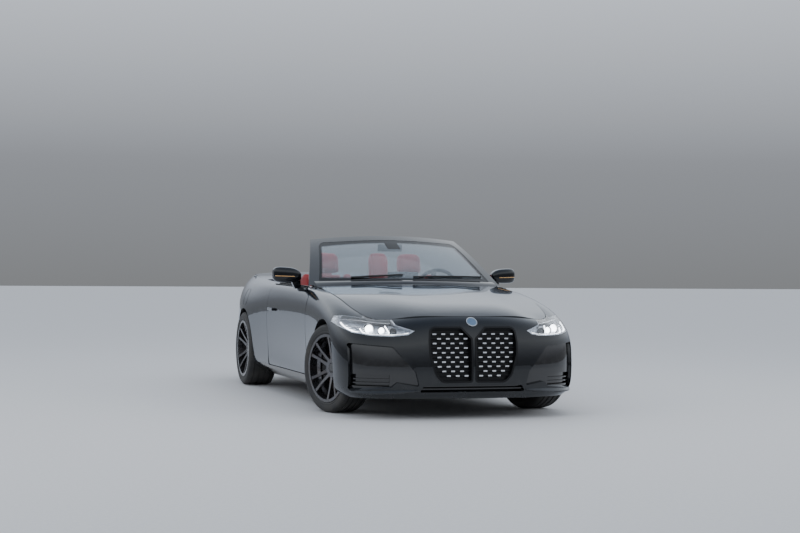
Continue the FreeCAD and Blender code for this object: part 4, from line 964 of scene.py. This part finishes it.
def dress_front_seats():
    """Cushion and back with cross channels, a bolster or wing along each edge, and a headrest."""
    sewn_pad("seat_cushion", (0.300, 0.470, 0.120), 0.016, left_and_right(seat_x, moved(0, -0.008, 0.382)),
             "front_seats", seams=seams_across(-0.13, -0.055, 0.020, 0.095), press=(0.007, 0.006))
    sewn_pad("seat_bolster", (0.098, 0.490, 0.150), 0.010, seat_edges(moved(0, -0.010, 0.372), 0.198, 0.10),
             "front_seats", cap=0.008, bend=bend_bolster, radius=0.038)
    stand = lean(0.170, 0.450, seat_lean) @ moved(0, 0.315, -0.050)
    sewn_pad("seat_back", (0.270, 0.600, 0.090), 0.018, left_and_right(seat_x, stand),
             "front_seats", seams=seams_across(-0.20, -0.12, -0.04, 0.04, 0.12), press=(0.007, 0.006))
    stand = lean(0.165, 0.440, seat_lean) @ moved(0, 0.318, -0.052)
    sewn_pad("seat_wing", (0.094, 0.610, 0.118), 0.008, seat_edges(stand, 0.183, 0.12),
             "front_seats", cap=0.008, bend=bend_wing, radius=0.040)
    stand = lean(0.348, 1.030, seat_head_lean) @ moved(0, 0.092, -0.046)
    sewn_pad("seat_head", (0.226, 0.176, 0.080), 0.012, left_and_right(seat_x, stand),
             "front_seats", cap=0.008, bend=bend_seat_head, seams=[lambda x, y: abs(x) - 0.078],
             press=(0.005, 0.004), voxel=0.006, radius=0.036)


def dress_rear_bench():
    """Two seats with lengthways channels, a plain middle, and two headrests."""
    channels = seams_along(-0.10, 0.0, 0.10)
    sewn_pad("bench_cushion", (0.400, 0.340, 0.140), 0.016, left_and_right(bench_x, moved(0, 0.746, 0.402)),
             "rear_bench", seams=channels)
    sewn_pad("bench_middle", (0.200, 0.340, 0.130), 0.004, [("", moved(0, 0.746, 0.398))],
             "rear_bench", cap=0.006)
    back = lean(0.858, 0.436, bench_lean)
    stand = back @ moved(0, 0.246, -0.052)
    sewn_pad("bench_back", (0.400, 0.480, 0.092), 0.014, left_and_right(bench_x, stand),
             "rear_bench", seams=channels)
    sewn_pad("bench_spine", (0.200, 0.460, 0.090), 0.004, [("", back @ moved(0, 0.236, -0.052))],
             "rear_bench", cap=0.006)
    stand = lean(0.918, 0.900, bench_head_lean) @ moved(0, 0.162, -0.042)
    sewn_pad("bench_head", (0.196, 0.318, 0.072), 0.012, left_and_right(bench_head_x, stand),
             "rear_bench", cap=0.006, bend=bend_bench_head, seams=[lambda x, y: abs(x) - 0.066],
             press=(0.005, 0.004), voxel=0.006, radius=0.034)


# Door cards. Columns: name, window on the door (y, y, z, z), height, edge, finish, slot
DOOR_CARDS = [
    ("door_upper_trim_", (-0.82, 0.38, 0.735, 0.865), 0.012, 0.10, TRIM, "trim"),
    ("door_pad_", (-0.74, 0.34, 0.560, 0.722), 0.016, 0.14, LEATHER, "red_leather"),
    ("door_lower_trim_", (-0.80, 0.34, 0.300, 0.545), 0.010, 0.08, TRIM, "trim"),
]
DOOR_GRAB = [(-0.580, 0.700), (-0.560, 0.722), (-0.500, 0.732), (-0.430, 0.728), (-0.400, 0.706)]
DOOR_SPEAKER = [
    (0.0, 0.0), (0.0, 0.070), (0.005, 0.070), (0.0065, 0.066), (0.004, 0.062), (0.0052, 0.030), (0.0056, 0.0),
]


def off_door(body, way, y, z, clear):
    """A point this far into the cabin from a door's inner face."""
    return surface_hit(body, (0, y, z), (way, 0, 0))[0] - Vector((way * clear, 0, 0))


def dress_doors():
    """A dark upper roll, a red pad below it, an armrest, a pocket, a grab of bright metal and a speaker."""
    for side, way in SIDES:
        body = "door_" + side
        for name, window, height, edge, material, slot in DOOR_CARDS:
            card = laid_panel(cabin_grid(body, window, 25, 7, way), height, edge)
            finished(name + side, card, material, slot, body)
        inner_x = off_door(body, way, -0.15, 0.62, 0.0).x
        rest = rounded_block((0.060, 0.560, 0.046), 0.020, 12, (inner_x - way * 0.045, -0.150, 0.640))
        finished("door_armrest_" + side, rest, LEATHER, "red_leather", body)
        pocket = rounded_block((0.034, 0.600, 0.110), 0.014, 10, (inner_x - way * 0.028, -0.220, 0.375))
        finished("door_pocket_" + side, pocket, SATIN, "trim", body)
        made = bmesh.new()
        bead(made, [off_door(body, way, y, z, 0.026) for y, z in DOOR_GRAB], 4, 0.006, flat=0.7)
        finished("door_grab_" + side, made, BRIGHT, "bright_studs", body)
        made = bmesh.new()
        dome(made, DOOR_SPEAKER, off_door(body, way, -0.700, 0.430, 0.010), (-way, 0, 0))
        finished("door_speaker_" + side, made, SATIN, "trim", body)


# Rubber lips along the slots of the lowered windows. Columns: name, x, y from, y to
WINDOW_LIPS = [("window_lip_inner_", 0.801, -0.700, 0.330), ("window_lip_outer_", 0.823, -0.740, 0.395)]
lip_radius = 0.0045


def dress_windows():
    """The lips and the upper edge of each lowered pane."""
    for side, way in SIDES:
        body = "door_" + side
        for name, x, y0, y1 in WINDOW_LIPS:
            starts = [(way * x, y, 2.0) for y in spread(y0, y1, 15)]
            made = bmesh.new()
            bead(made, laid_line(body, starts, -UP, lip_radius * 0.8), 2, lip_radius, up=(1, 0, 0))
            finished(name + side, made, RUBBER_LIP, "trim", body)
        edge = rounded_block((0.0044, 1.000, 0.060), 0.0018, 6, (way * 0.812, -0.185, 0.892))
        finished("side_window_" + side, edge, SIDE_GLASS, "screen_glass", body)


# Dashboard. Columns: name, x from and to
DASH_STRIPS = [("right", -0.700, -0.190), ("middle", -0.150, 0.150)]
DASH_VENTS = [(-0.700, -0.590), (-0.120, -0.010), (0.010, 0.120), (0.590, 0.700)]
hood_x, hood_half = 0.375, 0.18


def dress_dashboard():
    """Instruments under a hood, a centre screen on its foot, bright strips, a red roll and vents."""
    hood = rounded_block((2 * hood_half, 0.130, 0.060), 0.024, 10, (hood_x, -0.668, 0.952))
    for vertex in hood.verts:
        vertex.co.z += 0.016 * (1 - ((vertex.co.x - hood_x) / hood_half) ** 2)
    finished("instrument_hood", hood, TRIM, "trim")
    face = rounded_block((0.300, 0.006, 0.074), 0.0025, 4, (hood_x, -0.596, 0.972))
    finished("instrument_screen", face, DARK_GLASS, "black_plastic")
    panel = rounded_block((0.262, 0.014, 0.108), 0.006, 4)
    panel.transform(moved(0.010, -0.606, 0.992) @ Matrix.Rotation(math.radians(-8), 4, "X"))
    finished("centre_screen", panel, DARK_GLASS, "black_plastic")
    foot = rounded_block((0.110, 0.030, 0.050), 0.008, 4, (0.010, -0.622, 0.940))
    finished("centre_screen_foot", foot, SATIN, "trim")
    for name, x0, x1 in DASH_STRIPS:
        grid = rear_grid("dashboard", (x0, x1, 0.770, 0.800), 21, 4, start=0.0)
        finished("dash_strip_" + name, laid_panel(grid, 0.004, 0.2), SATIN_METAL, "bright_studs")
    grid = rear_grid("dashboard", (-0.710, 0.170, 0.812, 0.862), 31, 5, start=0.0)
    finished("dash_pad", laid_panel(grid, 0.010, 0.25), LEATHER, "red_leather")
    made = bmesh.new()
    for ends in DASH_VENTS:
        for z in spread(0.722, 0.755, 4):
            vane = laid_line("dashboard", [(x, 0.0, z) for x in ends], AHEAD, 0.004)
            swept(made, vane, blade_section(0.006, 0.006, 0.0016))
    finished("dash_vents", made, SATIN, "trim")


CONTROL_KNOB = [(0.0, 0.0), (0.0, 0.027), (0.012, 0.026), (0.016, 0.022), (0.015, 0.012), (0.0155, 0.0)]


def dress_console():
    """A black cover with a gear selector and a knob, and a leather armrest behind it."""
    starts = [[(x, y, 2.0) for x in (-0.092, -0.05, 0.0, 0.05, 0.092)] for y in spread(-0.40, -0.08, 5)]
    cover = laid_panel(ray_grid("centre_console", starts, -UP), 0.004, 0.2)
    finished("console_cover", cover, PIANO, "black_plastic")
    selector = rounded_block((0.038, 0.070, 0.060), 0.014, 8, (0.030, -0.250, 0.634))
    for vertex in selector.verts:
        vertex.co.y += (vertex.co.z - 0.62) * 0.35
    finished("gear_selector", selector, PIANO, "black_plastic")
    made = bmesh.new()
    dome(made, CONTROL_KNOB, (-0.040, -0.190, 0.603), UP)
    finished("control_knob", made, BRIGHT, "bright_studs")
    arm = crowned(0.190, 0.360, 0.040, 0.008, radius=0.016)
    arm.transform(moved(0, 0.135, 0.664))
    finished("console_armrest", arm, LEATHER, "red_leather", sharp=leather_fold)


WHEEL_PAD = [(0.006, 0.0), (0.006, 0.060), (0.014, 0.064), (0.024, 0.058), (0.030, 0.040), (0.032, 0.0)]
WHEEL_RING = [(0.0305, 0.020), (0.0335, 0.021), (0.0335, 0.024), (0.0305, 0.025)]


def dress_steering_wheel():
    """The domed pad in the middle of the steering wheel, with a bright ring on it."""
    axis = axis_of("steering_wheel_turn")
    centre = (0.375, -0.345, 0.905)
    made = bmesh.new()
    dome(made, WHEEL_PAD, centre, axis, 48)
    finished("wheel_pad", made, TRIM, "trim", "steering_wheel")
    made = bmesh.new()
    turned(made, WHEEL_RING, centre, axis, 40)
    finished("wheel_ring", made, SATIN_METAL, "bright_studs", "steering_wheel")


# Carpet mats. Columns: name, width, length, y
MATS = [("floor_mat_", 0.440, 0.480, -0.560), ("rear_mat_", 0.420, 0.220, 0.415)]


def dress_floor():
    """A carpet mat in each footwell, front and rear."""
    for side, way in SIDES:
        for name, width, length, y in MATS:
            mat = rounded_block((width, length, 0.014), 0.006, 10, (way * 0.385, y, 0.184))
            finished(name + side, mat, CARPET, "trim")


# Light guides over the rear lamps. Columns: name, lamps, x from and to, points, heights, body
LIGHT_GUIDES = [
    ("tail_light_guides_", "tail_lamps", 0.600, 0.770, 9, (0.765, 0.815), "root"),
    ("lid_light_guides_", "lid_lamps", 0.395, 0.545, 7, (0.768, 0.818), "boot_lid"),
]
PIPE_COLLAR = [
    (-0.045, 0.0475), (-0.045, 0.0505), (0.0025, 0.0510), (0.0050, 0.0490), (0.0030, 0.0455),
    (-0.030, 0.0450),
]
# Nothing under the rear bumper reaches further back than the bumper itself
hindmost = cad_high[1] - 0.0006


def diffuser_fin(x):
    """The rings of one upright fin, from its foot to its top."""
    for z in spread(0.266, 0.346, 6):
        skin_y = surface_hit("rear_bumper", (x, 3.0, z), AHEAD)[0].y
        foot, edge = skin_y - 0.004, min(skin_y + 0.018, hindmost)
        corners = ((-0.0022, foot), (0.0022, foot), (0.0018, edge), (-0.0018, edge))
        yield [Vector((x + across, y, z)) for across, y in corners]


def dress_tail():
    """Light guides and reflectors on each side, a finned diffuser and the collars of the pipes."""
    for side, way in SIDES:
        for name, lamps, x0, x1, count, heights, body in LIGHT_GUIDES:
            made = bmesh.new()
            for z in heights:
                starts = [(way * x, 3.0, z) for x in spread(x0, x1, count)]
                bead(made, laid_line(lamps, starts, AHEAD, 0.0012), 3, 0.0050)
            finished(name + side, made, RED_GLOW, "red_lamp", body)
        x0, x1 = sorted((way * 0.600, way * 0.690))
        reflector = laid_panel(rear_grid("rear_bumper", (x0, x1, 0.452, 0.476), 9, 4), 0.004, 0.25)
        finished("rear_reflector_" + side, reflector, RED_LENS, "red_lamp")
    panel = laid_panel(rear_grid("rear_bumper", (-0.400, 0.400, 0.264, 0.352), 31, 8), 0.005, 0.12)
    for point in panel.verts:
        point.co.y = min(point.co.y, hindmost)
    finished("diffuser", panel, SATIN, "black_plastic")
    made = bmesh.new()
    for x in (-0.30, -0.18, -0.06, 0.06, 0.18, 0.30):
        skin_rings(made, list(diffuser_fin(x)))
    finished("diffuser_fins", made, SATIN, "black_plastic")
    made = bmesh.new()
    for x in (-0.5, 0.5):
        turned(made, PIPE_COLLAR, (x, 2.345, 0.285), -AHEAD)
    finished("pipe_ends", made, SATIN_METAL, "exhaust_steel")


# The painted blades under the corner intakes. Columns: x, z, reach ahead of the skin
BLADE = [
    (0.405, 0.214, 0.003), (0.470, 0.204, 0.016), (0.560, 0.196, 0.026), (0.660, 0.190, 0.030),
    (0.750, 0.188, 0.028), (0.810, 0.190, 0.022), (0.850, 0.196, 0.010),
]


def front_blade():
    rings = []
    for x, z, reach in BLADE:
        place, normal = from_ahead("front_bumper", x, z)
        out = Vector((normal.x, normal.y, 0)).normalized()
        inner = place - out * 0.010
        tip = place + out * reach
        rise = 0.012 + reach * 1.1
        rings.append([inner + UP * rise, tip + UP * 0.003, tip - UP * 0.005, inner - UP * 0.010])
    fine = [smooth_path([ring[i] for ring in rings], 6) for i in range(4)]
    made = bmesh.new()
    skin_rings(made, [list(corner) for corner in zip(*fine)])
    return made


def recess_cheek():
    """The slanted outer wall of a corner recess, from the bumper's skin in to the insert's face."""
    rings = []
    for z in spread(0.232, 0.528, 15):
        edge, out = from_ahead("front_bumper", 0.866 + 0.0235 * (z - 0.205), z)
        foot, face_out = from_ahead("bumper_intakes", 0.846, z)
        edge = edge - out * 0.0012
        foot = foot + face_out * 0.0008
        rings.append([edge, foot, foot + Vector((0.002, 0.004, 0)), edge + Vector((0.000, 0.005, 0))])
    made = bmesh.new()
    skin_rings(made, rings)
    return made


def dress_nose():
    on_both_sides("front_blade", front_blade, PAINT, "paint")
    on_both_sides("recess_cheek", recess_cheek, PAINT, "paint")


# Dark liners that cover the cut edges of the panels round each wheel
arch_radius, liner_thickness, liner_inset, liner_depth = 0.366, 0.0018, 0.004, 0.075
least_reach = 0.80
ARCHES = [
    # End, hub's y, first and last angle, panels that the liner meets
    ("front", -1.534, -32, 205, ("front_bumper", "fenders", "sills")),
    ("rear", 1.317, -24, 212, ("quarters", "rear_bumper", "sills")),
]


def skin_x(nodes, y, z):
    """How far out the panels reach at a place of the side, seen from the left."""
    found = [surface_hit(node, (2.0, y, z), (-1, 0, 0))[0] for node in nodes]
    return max([place.x for place in found if place is not None], default=0.0)


def arch_lining(hub_y, first, last, nodes):
    """A thin band inside the left arch, wherever a panel of the car's side stands over it."""
    def around(x, radius, turn):
        return Vector((x, hub_y - math.cos(turn) * radius, tyre_radius + math.sin(turn) * radius))

    outer, inner = arch_radius - 0.0004, arch_radius - liner_thickness
    rings = []
    for turn in (math.radians(angle) for angle in spread(first, last, 49)):
        beyond = around(0.0, arch_radius + 0.004, turn)
        reach = skin_x(nodes, beyond.y, beyond.z)
        if reach >= least_reach:
            near, deep = reach - liner_inset, reach - liner_depth
            corners = ((near, outer), (near, inner), (deep, inner), (deep, outer))
            rings.append([around(x, radius, turn) for x, radius in corners])
    made = bmesh.new()
    skin_rings(made, rings)
    return made


def dress_arches():
    for end, *arch in ARCHES:
        on_both_sides("arch_liner_" + end, lambda: arch_lining(*arch), SATIN, "black_plastic")


def dress_fuel_flap():
    """The thin shut line of a rounded square on the right rear wing."""
    def squared(share):
        return math.copysign(abs(share) ** 0.55, share)

    starts = []
    for turn in spread(0.0, 2 * math.pi, 33):
        y = 1.300 + 0.078 * squared(math.cos(turn))
        starts.append((-3.0, y, 0.800 + 0.072 * squared(math.sin(turn))))
    made = bmesh.new()
    bead(made, laid_line("quarters", starts, (1, 0, 0), 0.0002), 1, 0.0012, 6)
    finished("fuel_flap_line", made, RUBBER_LIP, "paint")


dress_front_seats()
dress_rear_bench()
dress_doors()
dress_windows()
dress_dashboard()
dress_console()
dress_steering_wheel()
dress_floor()
dress_tail()
dress_nose()
dress_arches()
dress_fuel_flap()
dress_wheels()
dress_headlamps()
dress_badge()
dress_mirrors()


# Camera: place, then heading, dip and roll in degrees, then the lens as the photograph's own pixels give it
camera_place = (-3.994, -13.496, 1.115)
camera_angles = (-17.15, 0.10, 0.51)
image_width, focal_length, sensor_width = 800.0, 1649.3, 36.0


def place_camera():
    """The photograph's viewpoint: ahead of the car's right front corner, at chest height."""
    heading, dip, roll = (math.radians(a) for a in camera_angles)
    ahead = Vector((-math.sin(heading) * math.cos(dip), math.cos(heading) * math.cos(dip), -math.sin(dip)))
    right = ahead.cross(UP).normalized()
    above = right.cross(ahead)
    tilted_right = right * math.cos(roll) + above * math.sin(roll)
    tilted_up = above * math.cos(roll) - right * math.sin(roll)
    data = bpy.data.cameras.new("camera")
    data.sensor_width = sensor_width
    data.lens = sensor_width * focal_length / image_width
    data.clip_end = 200.0
    camera = in_scene("camera", data)
    turn = Matrix((tilted_right, tilted_up, -ahead)).transposed()
    camera.matrix_world = moved(*camera_place) @ turn.to_4x4()
    bpy.context.scene.camera = camera


floor_half = 60.0


def lay_floor():
    """A plain pale floor with faint specks."""
    f = Finish("pale_floor", (0.62, 0.62, 0.63), 0.75)
    speck = f.noise(40.0, 8.0)
    f.set("Base Color", f.mix(speck, (0.56, 0.56, 0.57), (0.66, 0.66, 0.67)))
    made = bmesh.new()
    bmesh.ops.create_grid(made, x_segments=8, y_segments=8, size=floor_half)
    mesh = bpy.data.meshes.new("floor")
    made.to_mesh(mesh)
    made.free()
    mesh.materials.append(f.bump(speck, 0.001, 0.2).material)
    in_scene("floor", mesh)


# The sky's colours from straight down to straight up
SKY = [
    (0.0, (0.17, 0.175, 0.18)), (0.49, (0.15, 0.155, 0.16)), (0.53, (0.20, 0.21, 0.23)),
    (0.58, (0.46, 0.49, 0.54)), (0.68, (0.90, 0.95, 1.0)), (1.0, (0.32, 0.38, 0.48)),
]
sky_strength = 1.45
# Columns: name, place, width and length, watts
LAMPS = [
    ("overhead", (0.0, -1.0, 7.0), (7.0, 9.0), 190.0),
    ("front_left", (6.5, -8.0, 5.0), (4.0, 3.0), 110.0),
    ("front_right", (-7.5, -5.0, 4.5), (4.0, 3.0), 90.0),
]


def light_studio():
    """A pale sky over a grey horizon, one broad soft light overhead and two at the sides."""
    world = bpy.data.worlds.new("studio")
    bpy.context.scene.world = world
    world.use_nodes = True
    sky = Tree(world.node_tree)
    height = sky.split(sky.node("TexCoord", {}))[2]
    colour = sky.node("ValToRGB", {"stops": SKY}, height * 0.5 + 0.5)
    background = sky.tree.nodes["Background"].inputs
    sky.tree.links.new(colour.socket, background["Color"])
    background["Strength"].default_value = sky_strength
    for name, spot, size, watts in LAMPS:
        light = bpy.data.lights.new(name, "AREA")
        light.shape = "RECTANGLE"
        light.size, light.size_y = size
        light.energy = watts
        lamp = in_scene(name, light)
        lamp.location = spot
        lamp.rotation_mode = "QUATERNION"
        lamp.rotation_quaternion = (Vector((0, 0, 0.6)) - Vector(spot)).to_track_quat("-Z", "Y")
        lamp.visible_glossy = False


place_camera()
lay_floor()
light_studio()
